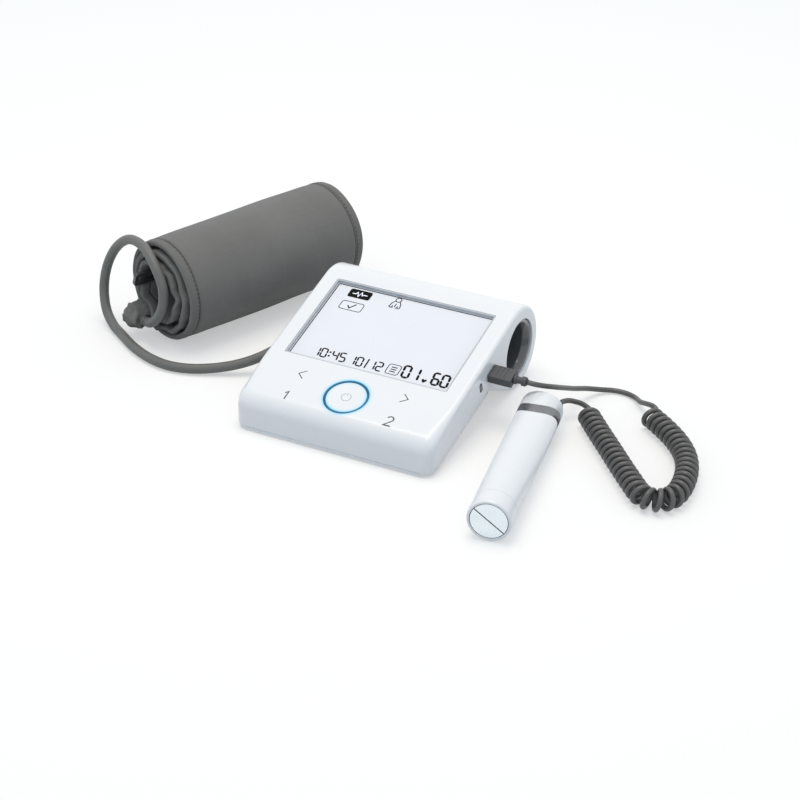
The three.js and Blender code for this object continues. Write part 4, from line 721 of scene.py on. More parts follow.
def buildHousing(spec):
    half, wall = spec["width"] / 2, spec["wall"]
    skin = softEdged("housing_skin", spec, sideOutline(spec), 0, 9)
    seam = spec["plate"] + spec["gap"]
    slope = math.cos(math.radians(spec["baseTilt"]))
    wallB, kneeB = (spec["kneeY"] - wall) / slope, (spec["kneeY"] + 1) / slope
    below = [(-20, -150), (kneeB, -150), (kneeB, 0), (wallB, 0), (wallB, seam), (-20, seam)]
    airFrame = shift(0, spec["airY"], spec["airZ"]) @ toX
    cutters = [
        softEdged("cavity", spec, sideOutline(spec, 8, 30), wall, 3),
        prismObject("below", below, -80, 80, baseFrame),
        plateObject("display_hole", roundedOutline(*spec["displaySize"], 1.2), -wall - 4, 4, onTop("display")),
        rodObject("button_hole", spec["buttonHole"], -wall - 4, 4, 96, onTop("button")),
        rodObject("flange_seat", spec["flangeSeat"], -wall - 4, -wall, 64, onTop("button")),
        rodObject("bore", spec["boreRadius"], -half + wall, half + 5, 96, tubeFrame),
        plateObject("plug_hole", roundedOutline(*spec["plugSize"], 1), half - wall - 4, half + 2, onTop("plug") @ toX),
        plateObject("slot_hole", roundedOutline(*spec["slotSize"], 0.8), half - wall - 4, half + 2,
                    onTop("slot") @ toX),
        rodObject("air_hole", spec["airRadius"], -half - 2, -half + wall + 4, 48, airFrame),
    ]
    for side in (-1, 1):
        seatFrame = shift(spec["footX"] * side, spec["tubeY"], 0)
        cutters.append(rodObject("foot_seat", spec["footRadius"], -5, spec["footTop"], 48, seatFrame))
    carve(skin, cutters)
    posts, holes = [], []
    for x, y in spec["screws"]:
        at = baseFrame @ shift(x, y, 0)
        posts.append(rodObject("post", spec["postRadius"], spec["postFoot"], 60, 24, at))
        carve(posts[-1], [softEdged("inside", spec, sideOutline(spec, 8, 30), wall * 0.6, 3)], "INTERSECT")
        holes.append(rodObject("screw_hole", spec["screwRadius"], *spec["screwReach"], 20, at))
    carve(skin, posts, "UNION")
    carve(skin, holes)
    mendMesh(skin.data, 2e-6)
    softenEdges(skin, 0.3)
    return finish(skin, "white_housing")


housingSkin = seat(buildHousing(housing), "monitor", "white_housing", "upper_housing")
print("housing built", len(housingSkin.data.vertices))


# Marks printed or shown on the tilted top: plain figures and symbols of thin ink, drawn in its own frame.
# A fill is an outline; a stroke is a line with its width, and closed or not.
def inkObject(name, fills, strokes, low, high, at):
    points, faces = [], []

    def addRings(rings, looped):
        faces.extend(skinFaces(len(rings), len(rings[0]), len(points), looped))
        points.extend(at @ Vector(p) for ring in rings for p in ring)

    for outline in fills:
        addRings([[(x, y, h) for x, y in outline] for h in (low, high)], False)
    for line, width, closed in strokes:
        line = [Vector((x, y, 0)) for x, y in line]
        rings = []
        for i, p in enumerate(line):
            before = line[i - 1] if closed or i else p
            after = line[(i + 1) % len(line)] if closed or i < len(line) - 1 else p
            a = (p - before).normalized() if i or closed else (after - p).normalized()
            b = (after - p).normalized() if closed or i < len(line) - 1 else a
            side = Vector((-(a + b).y, (a + b).x, 0)).normalized()
            side *= width / 2 / max(side.dot(Vector((-a.y, a.x, 0))), 0.5)
            left, right = p + side, p - side
            rings.append([(q.x, q.y, h) for q, h in ((left, low), (right, low), (right, high), (left, high))])
        addRings(rings, closed)
    return meshObject(name, points, faces, smooth=False)


# Figures of seven leaning segments
figure = {
    "lean": -0.12, "trim": 0.03,
    "segments": {"a": ((0, 1), (1, 1)), "b": ((1, 0.5), (1, 1)), "c": ((1, 0), (1, 0.5)), "d": ((0, 0), (1, 0)),
                 "e": ((0, 0), (0, 0.5)), "f": ((0, 0.5), (0, 1)), "g": ((0, 0.5), (1, 0.5))},
    "codes": {"0": "abcdef", "1": "bc", "2": "abged", "4": "fgbc", "5": "afgcd", "6": "afgedc"},
}


def figureFills(spec, code, x, y, width, height, thick):
    fills = []
    for key in spec["codes"][code]:
        a, b = (Vector((u * width, v * height)) for u, v in spec["segments"][key])
        along = (b - a).normalized()
        side = Vector((-along.y, along.x)) * (thick / 2)
        a, b = a + along * (thick * spec["trim"]), b - along * (thick * spec["trim"])
        tip = along * (thick / 2)
        outline = [a, a + tip - side, b - tip - side, b, b - tip + side, a + tip + side]
        fills.append([(x + p.x + spec["lean"] * p.y, y + p.y) for p in outline])
    return fills


def rounded(x, y, width, height, radius, steps=5):
    return [(x + px, y + py) for px, py in roundedOutline(width, height, radius, steps)]


def ringLine(x, y, radius, start=0, stop=360, steps=36):
    return arc(x, y, radius, start, stop, steps)


# Rows of figures give their foot, height and thickness, and then each figure with its place and width.
display = {
    "low": -2.68, "high": -2.65, "pulseLow": -2.645, "pulseHigh": -2.62,
    "ink": 0.6, "borderInk": 0.7, "slashInk": 1.15, "tickInk": 0.95, "lineInk": 0.85, "pulseInk": 0.75,
    "dotRadius": 0.85,
    "rows": [
        (55.5, 8.1, 1.2, [(code, x, 4.1) for code, x in (("1", -44.0), ("0", -38.2), ("4", -29.4), ("5", -23.6),
                                                         ("1", -16.2), ("0", -10.4), ("1", -1.0), ("2", 4.8))]),
        (55.6, 11.0, 1.75, [("0", 24.6, 4.9), ("1", 31.5, 4.9), ("6", 46.9, 4.7), ("0", 53.6, 4.9)]),
    ],
    "dots": [(-32.1, 57.8), (-32.5, 61.5)],
    "slash": [(-3.3, 55.0), (-3.5, 64.0)],
    "border": (0, 89.75, 120.2, 76.3, 0.6, 2),
    "darkBox": (-40.6, 121.9, 17.4, 8.6, 1.6),
    "boxes": [(-40.8, 108.8, 17.2, 8.4, 1.8), (16.8, 60.1, 9.4, 9.4, 1.8)],
    "tick": [(-43.8, 109.0), (-41.7, 106.6), (-37.9, 111.4)],
    "lines": [[(14.6, 60.1 + lift), (19.0, 60.1 + lift)] for lift in (-2.1, 0, 2.1)],
    "head": (-11.4, 125.3, 2.1), "trunk": (121.4, 117.6),
    "sleeve": [(1.6, 123.9), (3.3, 121.6), (4.2, 117.6), (2.6, 116.6), (1.9, 118.9), (1.2, 116.2)],
    "heart": [(41.4, 54.9), (39.5, 57.0), (39.7, 58.3), (40.6, 58.6), (41.4, 57.8), (42.2, 58.6), (43.1, 58.3),
              (43.3, 57.0)],
    "pulse": [(-46.4, 121.6), (-43.8, 121.6), (-42.8, 123.6), (-41.2, 119.4), (-39.8, 124.2), (-38.6, 121.0),
              (-37.6, 121.9), (-34.8, 121.9)],
}


def markDisplay(spec):
    bold, middle = spec["borderInk"], spec["head"][0]
    fills = [rounded(*spec["darkBox"]), spec["heart"]]
    fills += [ringLine(x, y, spec["dotRadius"], steps=12)[:-1] for x, y in spec["dots"]]
    for y, height, thick, row in spec["rows"]:
        for code, x, width in row:
            fills += figureFills(figure, code, x, y, width, height, thick)
    strokes = [(spec["slash"], spec["slashInk"], False), (rounded(*spec["border"]), bold, True),
               (spec["tick"], spec["tickInk"], False), (ringLine(*spec["head"])[:-1], bold, True),
               ([(middle, y) for y in spec["trunk"]], bold, False)]
    strokes += [(rounded(*box), spec["ink"], True) for box in spec["boxes"]]
    strokes += [(line, spec["lineInk"], False) for line in spec["lines"]]
    strokes += [([(middle + way * x, y) for x, y in spec["sleeve"]], bold, False) for way in (-1, 1)]
    marks = inkObject("display_marks", fills, strokes, spec["low"], spec["high"], topFrame)
    wave = (spec["pulse"], spec["pulseInk"], False)
    pulse = inkObject("display_pulse", [], [wave], spec["pulseLow"], spec["pulseHigh"], topFrame)
    return finish(marks, "dark_ink"), finish(pulse, "light_guide")


for piece in markDisplay(display):
    seat(piece, "monitor", "display_glass")

# Printed touch marks: two arrows and the figures 1 and 2
touchMarks = {
    "ink": 0.75, "figureInk": 1.05, "low": 0.002, "high": 0.012, "arrow": (2.3, 4.0),
    "arrows": [(-39.4, 33.1, -1), (38.6, 34.8, 1)],
    "one": [(-41.6, 13.0), (-39.5, 14.9), (-39.5, 7.6)],
    "two": (38.0, 12.4),
}


def markKeys(spec):
    strokes = []
    for x, y, way in spec["arrows"]:
        dx, dy = way * spec["arrow"][0], spec["arrow"][1]
        strokes.append(([(x - dx, y + dy), (x + dx, y), (x - dx, y - dy)], spec["ink"], False))
    x, y = spec["two"]
    two = ringLine(x, y + 1.6, 2.3, 165, -38, 18) + [(x - 2.5, y - 4.4), (x + 2.6, y - 4.4)]
    strokes += [(line, spec["figureInk"], False) for line in (spec["one"], two)]
    return finish(inkObject("touch_marks", [], strokes, spec["low"], spec["high"], topFrame), "key_ink")


seat(markKeys(touchMarks), "monitor", "dark_rubber")

# Start button: shallow dish with a rounded rim on its stem, its faint symbol, and the lens about it
startButton = {
    "profile": [(0, -3.2), (3, -3.2), (3, -2.3), (3.4, -2), (14.2, -2), (14.2, -0.62), (14.12, -0.38), (13.9, -0.17),
                (13.5, -0.04), (13.0, 0), (12.0, -0.03), (9.0, -0.14), (6.0, -0.25), (3.0, -0.32), (0, -0.35)],
    "lens": [(14.5, -3.9), (17.9, -3.9), (17.9, -2.75), (17.8, -2.7), (15.5, -2.7), (15.5, -0.25), (15.42, -0.14),
             (15.25, -0.1), (14.75, -0.1), (14.58, -0.14), (14.5, -0.25)],
    "symbol": 3.4, "ink": 0.45, "low": -0.345, "high": -0.27,
}


def buildButton(spec):
    cap = turnedObject("button_cap", spec["profile"], 128, onTop("button"))
    lens = turnedObject("ring_lens", spec["lens"], 128, onTop("button"), closed=True)
    for made in (cap, lens):
        softenEdges(made)
    r, ink = spec["symbol"], spec["ink"]
    strokes = [(ringLine(0, 0, r, 112, 428, 40), ink, False), ([(0, r + 0.9), (0, r - 1.9)], ink, False)]
    symbol = inkObject("button_symbol", [], strokes, spec["low"], spec["high"], onTop("button"))
    return finish(cap, "white_housing"), finish(lens, "ring_lens"), finish(symbol, "pale_ink")


buttonCap, ringLens, buttonSymbol = buildButton(startButton)
seat(buttonCap, "start_button", "white_housing", "start_button")
seat(buttonSymbol, "start_button", "light_guide")
seat(ringLens, "monitor", "ring_lens", "ring_light")
print("display and button built")

# Liner of the stick's store: blind tube whose mouth flares and ends in a rounded lip
linerProfile = [
    (0, -72.3), (18.8, -72.3), (18.8, 65.8), (21.4, 67.8), (21.4, 73.1), (21.28, 73.5), (20.95, 73.76), (20.5, 73.8),
    (19.5, 73.72), (18.9, 73.4), (18.3, 72.4), (17.6, 70.9), (17.05, 69.6), (16.7, 68.4), (16.7, -69.6), (16.3, -70.3),
    (15.4, -70.5), (0, -70.5),
]
linerPiece = turnedObject("store_liner", linerProfile, 96, tubeFrame)
softenEdges(linerPiece)
seat(finish(linerPiece, "liner_plastic"), "monitor", "grey_plastic", "storage_liner")

# Plug of the stick's cord: rounded moulding with three grip grooves, and a boot with two collars
plug = {
    "face": 75.3, "rear": 92.3, "width": 13, "height": 6.8, "corner": 1.5,
    "grooves": (5, 8, 11), "grooveWidth": 1, "grooveDepth": 0.35, "grooveReach": 4.6,
    "boot": [(0, 92.6), (3.0, 92.6), (3.3, 92.9), (3.3, 94.2), (3.05, 94.5), (2.5, 94.7), (2.4, 95.2), (2.4, 97.6),
             (2.55, 98.0), (3.2, 98.2), (3.35, 98.6), (3.35, 100.6), (3.1, 101.2), (2.5, 101.8), (0, 101.8)],
}


def buildPlug(spec):
    at = onTop("plug") @ toX
    outline = roundedOutline(spec["height"], spec["width"], spec["corner"], 8)
    body = plateObject("plug_body", outline, spec["face"], spec["rear"], at)
    top, reach, cutters = -spec["height"] / 2, spec["grooveReach"], []
    above, bottom = top - 2, top + spec["grooveDepth"]
    groove = [(above, -reach), (bottom, -reach), (bottom, reach), (above, reach)]
    for along in spec["grooves"]:
        low = spec["face"] + along
        cutters.append(plateObject("groove", groove, low, low + spec["grooveWidth"], at))
    carve(body, cutters)
    softenEdges(body, 0.45, 3, 35)
    boot = turnedObject("plug_sleeve", spec["boot"], 48, at)
    softenEdges(boot)
    return finish(body, "plug_rubber"), finish(boot, "plug_rubber")


plugBody, plugSleeve = buildPlug(plug)
seat(plugBody, "ecg_stick", "dark_rubber", "plug_moulding")
seat(plugSleeve, "ecg_stick", "dark_rubber", "plug_boot")

# Dark lip about the card slot beside the plug
slotLip = {"outer": (7.4, 3.8, 1.8), "opening": (4.5, 1.9, 0.85), "low": 74.9, "high": 75.12}


def buildSlotLip(spec):
    at = onTop("slot") @ toX
    made = plateObject("slot_lip", roundedOutline(*spec["outer"]), spec["low"], spec["high"], at)
    carve(made, [plateObject("opening", roundedOutline(*spec["opening"]), spec["low"] - 1, spec["high"] + 1, at)])
    softenEdges(made, 0.05, 1)
    return finish(made, "black_plastic")


seat(buildSlotLip(slotLip), "monitor", "dark_rubber")
print("liner, plug and slot built")


# Rolled cuff: one padded band wound on itself, bound with tape along both edges and stitched along the tape.
# The windings share one slow crumple that fades outwards, and the inner ones are gathered at the near end.
cuff = {
    "width": 159.2, "outer": 42.1, "thickness": 5.4, "space": 0.7, "turns": 3.2, "slip": 8, "endAngle": 250,
    "edgeThickness": 4.1, "bindingWidth": 7.5, "seamWidth": 0.3, "stepDegrees": 3,
    "crumple": 2.1, "gather": 3.0, "flap": 3.4, "ruffle": 3.2, "endPress": 0.35,
    "edgeRound": 2, "tapeSwell": 0.22, "seamDepth": 0.75, "seamSpread": 0.55, "swellWidth": 12,
    "pucker": 0.16, "puckerPitch": 7.5, "puckerFade": 5,
    "stitchPitch": 3.4, "stitchLength": 2.3, "stitchRadius": 0.28, "stitchInset": 6.2, "stitchSides": 6,
    "stitchRun": (4, 352), "stitchLift": 0.12, "stitchSink": 0.42,
    "stops": [0, 0.12, 0.4, 0.8, 1.3, 2, 3.2, 4.6, 6, 6.8, 7.2, 7.5, 7.8, 8.2, 9, 10.4, 12.4, 15, 19, 25, 33, 43, 55,
              68],
}


def crumpleAt(spec, back, across):
    angle = math.radians(spec["endAngle"] - back)
    depth = back / (spec["turns"] * 360)
    near = ease(-across, spec["width"] * 0.08, spec["width"] / 2)
    slow = noise3(Vector((math.cos(angle) * 1.5, math.sin(angle) * 1.5, across / 46)))
    quick = noise3(Vector((math.cos(angle) * 3.4 + 7, math.sin(angle) * 3.4, across / 15)))
    move = slow * spec["crumple"] * (0.25 + depth * 1.1) + quick * spec["gather"] * near * ease(depth, 0.12, 0.85)
    loose = ease(back, spec["turns"] * 360 - 230, spec["turns"] * 360 - 60) * near
    return move - spec["flap"] * loose * (0.45 + quick)


# Point of the band, so many degrees back from its outer end, which is held to the winding beneath
def rollPoint(spec, back, across, out):
    radius = spec["outer"] - spec["thickness"] / 2 - (spec["thickness"] + spec["space"]) * back / 360 + out
    held = 1 - ease(back, 20, 150)
    radius += crumpleAt(spec, back, across) * (1 - held) + crumpleAt(spec, back + 360, across) * held
    radius -= spec["endPress"] * (1 - ease(back, 0, 40))
    angle = math.radians(spec["endAngle"] - back)
    depth = back / (spec["turns"] * 360)
    near = ease(-across, 0, spec["width"] / 2) * ease(depth, 0.2, 0.8)
    sway = noise3(Vector((math.cos(angle) * 2.1, math.sin(angle) * 2.1, depth * 2.2))) * spec["ruffle"] * near
    across += sway - spec["slip"] * depth
    return cuffFrame @ Vector((radius * math.cos(angle), across, radius * math.sin(angle)))


# Half thickness of the band: full along the middle, drawn in at the seam, rounded at its bound edges
def bandHalf(spec, across, back):
    inside, binding, bend = spec["width"] / 2 - abs(across), spec["bindingWidth"], spec["edgeRound"]
    full, edge, past = spec["thickness"] / 2 - 0.05, spec["edgeThickness"] / 2, inside - binding
    seam = spec["seamDepth"] * math.exp(-(past / spec["seamSpread"]) ** 2)
    if inside < bend:
        return edge * math.sqrt(max(1 - (1 - inside / bend) ** 2, 0.0))
    if inside < binding:
        return edge + spec["tapeSwell"] * math.sin(math.pi * (inside - bend) / (binding - bend)) - seam
    swell = (full - edge) * math.sin(min(past / spec["swellWidth"], 1) * math.pi / 2)
    pucker = spec["pucker"] * math.sin(back * math.tau / spec["puckerPitch"]) * math.exp(-past / spec["puckerFade"])
    return edge - seam + swell + pucker * min(past, 1)


def buildCuff(spec):
    half, step, binding = spec["width"] / 2, spec["stepDegrees"], spec["bindingWidth"]
    stops = spec["stops"] + [half]
    acrossList = [-half + t for t in stops] + [half - t for t in stops[-2::-1]]
    runs = acrossList + acrossList[-2:0:-1]
    signs = [1] * len(acrossList) + [-1] * (len(acrossList) - 2)
    count = round(spec["turns"] * 360 / step)
    rings, arcs = [], [0.0]
    for i in range(count + 1):
        back = spec["turns"] * 360 * i / count
        taper = min(1, math.sqrt(max(min(i, count - i) * step / 5, 0.02)))
        rings.append([rollPoint(spec, back, a, sign * bandHalf(spec, a, back) * taper) for a, sign in zip(runs, signs)])
        radius = spec["outer"] - (spec["thickness"] + spec["space"]) * back / 360
        arcs.append(arcs[-1] + radius * math.radians(step) / 1000)
    made = finish(ringsObject("cuff_roll", rings), "cuff_fabric", "cuff_tape", "seam_thread")
    sheet = made.data.uv_layers.new(name="weave")
    for face in made.data.polygons:
        spots = [divmod(made.data.loops[corner].vertex_index, len(runs)) for corner in face.loop_indices]
        for corner, (row, i) in zip(face.loop_indices, spots):
            sheet.data[corner].uv = (runs[i] / 1000, arcs[row])
        inside = half - abs(sum(runs[i] for row, i in spots) / len(spots))
        if len(spots) == 4:
            face.material_index = 2 if abs(inside - binding) < spec["seamWidth"] else 1 if inside < binding else 0
    return made


# Lock stitches along the tape on the outermost winding, each a short thread sunk at both ends
def buildStitches(spec):
    points, faces, sides, last = [], [], spec["stitchSides"], 5
    radius = spec["outer"] - spec["thickness"] / 2
    pitch, span = (math.degrees(spec[key] / radius) for key in ("stitchPitch", "stitchLength"))
    for side in (-1, 1):
        across, (back, stop) = side * (spec["width"] / 2 - spec["stitchInset"]), spec["stitchRun"]
        while back < stop:
            faces += skinFaces(last + 1, sides, len(points))
            for k in range(last + 1):
                at, sunk = back + span * k / last, (2 * k / last - 1) ** 4
                lift = bandHalf(spec, across, at) + spec["stitchLift"] - spec["stitchSink"] * sunk
                thick = spec["stitchRadius"] * (1 - 0.5 * sunk)
                for turn in (math.tau * j / sides for j in range(sides)):
                    points.append(rollPoint(spec, at, across + thick * math.cos(turn), lift + thick * math.sin(turn)))
            back += pitch
    return finish(meshObject("cuff_stitches", points, faces), "seam_thread")


# Crumpled cloth gathered over the hose port: from inside the roll about the elbow to the hose
portCover = {
    "start": (-20.5, -79.5, -22.0), "knee": (-22.4, -93.0, -24.1), "hose": (-199.2, 76.9, 16.1),
    "stub": 10.2, "bulge": 8.2, "sleeve": 6.6, "voxel": 0.8, "relax": 14, "fold": 1.9, "wrinkle": 0.3,
}


def rodBetween(name, radius, start, stop, sides):
    turn = (stop - start).to_track_quat("Z", "Y").to_matrix().to_4x4()
    return rodObject(name, radius, 0, (stop - start).length, sides, Matrix.Translation(start) @ turn)


def buildPortCover(spec):
    start, knee, stop = cuffFrame @ Vector(spec["start"]), cuffFrame @ Vector(spec["knee"]), Vector(spec["hose"])
    made = rodBetween("port_cover", spec["stub"], start, knee, 40)
    turns = [math.pi * k / 12 for k in range(13)]
    ball = [(spec["bulge"] * math.sin(turn), -spec["bulge"] * math.cos(turn)) for turn in turns]
    bulge = turnedObject("bulge", ball, 32, Matrix.Translation(knee))
    carve(made, [bulge, rodBetween("sleeve", spec["sleeve"], knee, stop, 40)], "UNION")
    grid = made.modifiers.new("grid", "REMESH")
    grid.mode, grid.voxel_size = "VOXEL", spec["voxel"] / 1000
    made.modifiers.new("relax", "SMOOTH").iterations = spec["relax"]
    applyModifiers(made)
    moves = []
    for v in made.data.vertices:
        at = v.co * 1000
        fold = abs(noise3(at * 0.12 + Vector((3, 1, 5))))
        moves.append(v.co + v.normal * (spec["fold"] * (0.3 - fold * 2.2) + spec["wrinkle"] * noise3(at * 0.35)) / 1000)
    for v, to in zip(made.data.vertices, moves):
        v.co = to
    for face in made.data.polygons:
        face.use_smooth = True
    return finish(made, "cuff_tape")


cuffRoll = buildCuff(cuff)
seat(buildPortCover(portCover), "air_line", "cuff_fabric")
seat(cuffRoll, "air_line", "cuff_fabric", "cuff_band", "cuff_bladder")
seat(buildStitches(cuff), "air_line", "cuff_fabric")
print("cuff built", len(cuffRoll.data.vertices))


# ECG stick: tube, metal finger band on a swept curve, saddle for the finger, and the end cap with two electrodes
stick = {
    "radius": 14.8, "wall": 1.8, "length": 145.9, "cap": 14.4, "bandStart": 114.6, "bandHeight": 10, "sweep": 12,
    "dip": 3.2, "plate": 1.2, "electrode": 12.6, "split": 0.8, "horn": 10.6, "gap": 0.3, "sides": 128, "turn": 38,
    "endSeat": 3.2, "cordHole": 3.1, "plateHole": 3.7,
}
stickAxis = stickFrame @ toY
hornAxis = stickFrame @ shift(stick["horn"], 0, 0) @ toY


# Keeps of a piece what lies between two curves over the stick, each a height and its rise towards both sides.
def keepBetween(made, low, lowRise, high, highRise, steps=36):
    reach = stick["radius"] + 1
    shares = [(x, (x / stick["radius"]) ** 2) for x in (-reach + 2 * reach * i / steps for i in range(steps + 1))]
    outline = [(x, low + lowRise * t) for x, t in shares] + [(x, high + highRise * t) for x, t in reversed(shares)]
    carve(made, [plateObject("region", outline, -reach, reach, stickFrame)], "INTERSECT")
    return made


def stickTube(name, spec, low, high):
    inner = spec["radius"] - spec["wall"]
    profile = [(inner, low), (spec["radius"], low), (spec["radius"], high), (inner, high)]
    return turnedObject(name, profile, spec["sides"], stickAxis, closed=True)


def buildStick(spec):
    gap, length, radius, sides = spec["gap"], spec["length"], spec["radius"], spec["sides"]
    electrode, sweep, dip = spec["electrode"], spec["sweep"], spec["dip"]
    inner, bandStart, bandEnd = radius - spec["wall"], spec["bandStart"], spec["bandStart"] + spec["bandHeight"]
    plateLow, end = length - dip - spec["plate"], spec["endSeat"]
    body = stickTube("stick_tube", spec, spec["cap"] + gap, length)
    keepBetween(body, 0, 0, bandStart - gap / 2, sweep)
    band = stickTube("band_sleeve", spec, spec["cap"], length)
    keepBetween(band, bandStart + gap / 2, sweep, bandEnd - gap / 2, sweep)
    saddle = turnedObject("saddle_head", [
        (inner, bandEnd - 1), (radius, bandEnd - 1), (radius, length - 1.4), (radius - 0.12, length - 0.7),
        (radius - 0.5, length), (0, length + 0.01), (0, bandEnd + 14), (inner - 2, bandEnd + 12), (inner, bandEnd + 8),
    ], sides, stickAxis, closed=True)
    keepBetween(saddle, bandEnd + gap / 2, sweep, plateLow + spec["plate"], dip)
    pocket = rodObject("pocket", electrode + gap, plateLow - 10, length + 5, 96, stickAxis)
    keepBetween(pocket, plateLow - gap, dip, length + 5, 0)
    carve(saddle, [pocket, rodObject("cord_hole", spec["cordHole"], bandEnd, length + 2, 48, hornAxis)])
    plate = rodObject("finger_plate", electrode, plateLow - 2, length + 5, 96, stickAxis)
    keepBetween(plate, plateLow, dip, plateLow + spec["plate"] - 0.2, dip)
    carve(plate, [rodObject("cord_hole", spec["plateHole"], bandEnd, length + 5, 48, hornAxis)])
    cap = turnedObject("end_cap", [
        (0, end), (electrode + 0.2, end), (electrode + 0.2, 0.35), (electrode + 0.35, 0.2), (radius - 1.2, 0.2),
        (radius - 0.7, 0.45), (radius - 0.3, 1), (radius - 0.08, 1.8), (radius, 2.6), (radius, spec["cap"]),
        (inner - gap, spec["cap"]), (inner - gap, spec["cap"] + 4), (inner - gap - 1.2, spec["cap"] + 4),
        (inner - gap - 1.2, 5), (0, 5),
    ], sides, stickAxis)
    halves = []
    for name, side in (("end_plate_b", 0), ("end_plate_a", 180)):
        disc = rodObject(name, electrode - gap, 0.5, end - gap, 96, stickAxis)
        corner = [(-20, spec["split"] / 2), (20, spec["split"] / 2), (20, 20), (-20, 20)]
        half = plateObject("half", corner, -6, 2, stickFrame @ spin(side + spec["turn"], "Y") @ spin(90, "X"))
        carve(disc, [half], "INTERSECT")
        softenEdges(disc, 0.2, 2, 50)
        halves.append(disc)
    for made in (body, band, plate):
        softenEdges(made, 0.12, 2, 60)
    softenEdges(saddle, 0.25, 3, 50)
    softenEdges(cap)
    return body, band, saddle, plate, cap, *halves


stickRoles = [("stick_body", "white_housing"), ("finger_band", "band_metal"), ("saddle_cap", "white_housing"),
              ("saddle_electrode", "electrode_steel"), ("stick_end_cap", "white_housing"),
              ("end_electrode_left", "electrode_steel"), ("end_electrode_right", "electrode_steel")]
for piece, (node, look) in zip(buildStick(stick), stickRoles):
    seat(finish(piece, look), "ecg_stick", look, node)

# Ringed strain relief on the stick's right horn
cordSleeve = [
    (0, 137.5), (2.8, 137.5), (2.8, 145.9), (2.5, 146.2), (2.45, 146.6), (2.72, 146.9), (2.72, 147.9), (2.4, 148.2),
    (2.35, 148.6), (2.58, 148.9), (2.58, 149.8), (2.28, 150.1), (2.25, 150.5), (2.42, 150.8), (2.42, 151.8),
    (2.2, 152.4), (0, 152.4),
]
cordSleevePiece = finish(turnedObject("cord_sleeve", cordSleeve, 48, hornAxis), "plug_rubber")
softenEdges(cordSleevePiece)
seat(cordSleevePiece, "ecg_stick", "dark_rubber", "stick_cord_boot")
print("stick built")

# Finishes of the solids that keep their own shape, and of those that a piece stands for
nodeFinishes = {
    "white_housing": ["upper_housing", "base_shell", "battery_door", "start_button", "stick_body", "stick_end_cap",
                      "saddle_cap"],
    "dark_rubber": ["front_foot", "rear_foot_left", "rear_foot_right", "stick_cord_boot", "plug_moulding", "plug_boot"],
    "gasket": ["display_gasket"],
    "display_glass": ["lcd_panel"],
    "light_guide": ["backlight_panel"],
    "black_plastic": ["display_carrier", "start_switch", "slot_switch"],
    "ring_lens": ["ring_light"],
    "circuit_board": ["main_board", "stick_board"],
    "pad_copper": ["touch_pad_memory_1", "touch_pad_memory_2", "touch_pad_back", "touch_pad_forward"],
    "inner_plastic": ["exhaust_valve", "pressure_sensor"],
    "pump_metal": ["air_pump"],
    "grey_plastic": ["air_socket", "storage_liner"],
    "clear_tube": ["air_tube"],
    "bright_steel": ["contact_left_outer", "contact_left_inner", "contact_right_inner", "contact_right_outer",
                     "case_screw_1", "case_screw_2", "case_screw_3", "case_screw_4", "plug_socket", "plug_shell"],
    "electrode_steel": ["end_electrode_left", "end_electrode_right", "saddle_electrode"],
    "band_metal": ["finger_band"],
    "cell_wrap": ["battery_1", "battery_2", "battery_3", "battery_4"],
    "bar_metal": ["cuff_bar"],
    "bladder_rubber": ["cuff_bladder"],
    "cuff_fabric": ["cuff_band"],
    "hose_rubber": ["hose", "hose_port", "air_plug"],
    "cord_jacket": ["stick_lead", "curly_cord", "plug_lead"],
}
for look, names in nodeFinishes.items():
    for name in names:
        if not nodes[name].material_slots:
            nodes[name].data.materials.append(finishes[look])
        for slot in nodes[name].material_slots:
            slot.material = finishes[look]
print("solids finished")


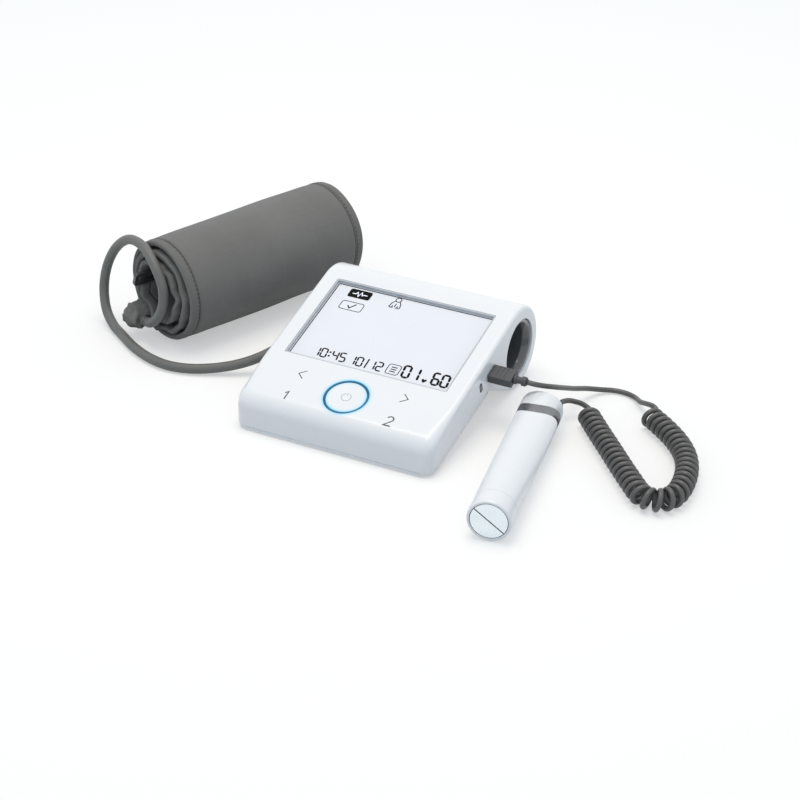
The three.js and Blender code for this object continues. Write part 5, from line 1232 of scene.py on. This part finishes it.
# Light and ground, in metres
studio = {
    "skyColour": (0.79, 0.9, 0.98, 1), "sky": 0.77, "keyColour": (1, 0.86, 0.72), "keyPower": 13.6, "keySize": 1.1,
    "keyPlace": (-0.1, 0.15, 1.7), "keyAim": (0, 0.08, 0.02),
    "floorAlbedo": 0.55, "floorLift": 0.45, "floorReach": 6, "floorDrop": 0.0002,
}


def seenBy(tree, *rays):
    path = putNode(tree, "LightPath")
    share = path[rays[0]]
    for ray in rays[1:]:
        share = sums(tree, "MAXIMUM", share, path[ray])
    return share


def lightStudio(spec):
    world = bpy.data.worlds.new("studio_world")
    bpy.context.scene.world = world
    world.use_nodes = True
    tree = world.node_tree
    tree.nodes.clear()
    soft = putNode(tree, "Background", {"Color": spec["skyColour"], "Strength": spec["sky"]})
    white = putNode(tree, "Background", {"Color": (1, 1, 1, 1), "Strength": 1.0})
    seen = seenBy(tree, "Is Camera Ray", "Is Glossy Ray", "Is Transmission Ray")
    putNode(tree, "OutputWorld", {"Surface": putNode(tree, "MixShader", {0: seen, 1: soft[0], 2: white[0]})[0]})
    key = addObject("key_light", bpy.data.lights.new("key_light", "AREA"))
    key.data.energy, key.data.color, key.data.size = spec["keyPower"], spec["keyColour"], spec["keySize"]
    key.location = spec["keyPlace"]
    key.rotation_euler = (Vector(spec["keyAim"]) - key.location).to_track_quat("-Z", "Y").to_euler()


def layFloor(spec):
    mesh = bpy.data.meshes.new("floor")
    mesh.from_pydata([(x * spec["floorReach"], y * spec["floorReach"], 0)
                      for x, y in ((-1, -1), (1, -1), (1, 1), (-1, 1))], [], [(0, 1, 2, 3)])
    floor = addObject("floor", mesh)
    floor.location.z = -spec["floorDrop"]
    coat = bpy.data.materials.new("floor_paper")
    coat.use_nodes = True
    tree = coat.node_tree
    lift = times(tree, seenBy(tree, "Is Camera Ray", "Is Glossy Ray"), spec["floorLift"])
    feed(tree, tree.nodes["Principled BSDF"].inputs, {
        "Base Color": (*(spec["floorAlbedo"],) * 3, 1), "Roughness": 0.9, "Specular IOR Level": 0.1,
        "Emission Color": (1, 1, 1, 1), "Emission Strength": lift,
    })
    mesh.materials.append(coat)


lightStudio(studio)
layFloor(studio)
bpy.context.scene.view_settings.view_transform = "Standard"
print("studio lit")
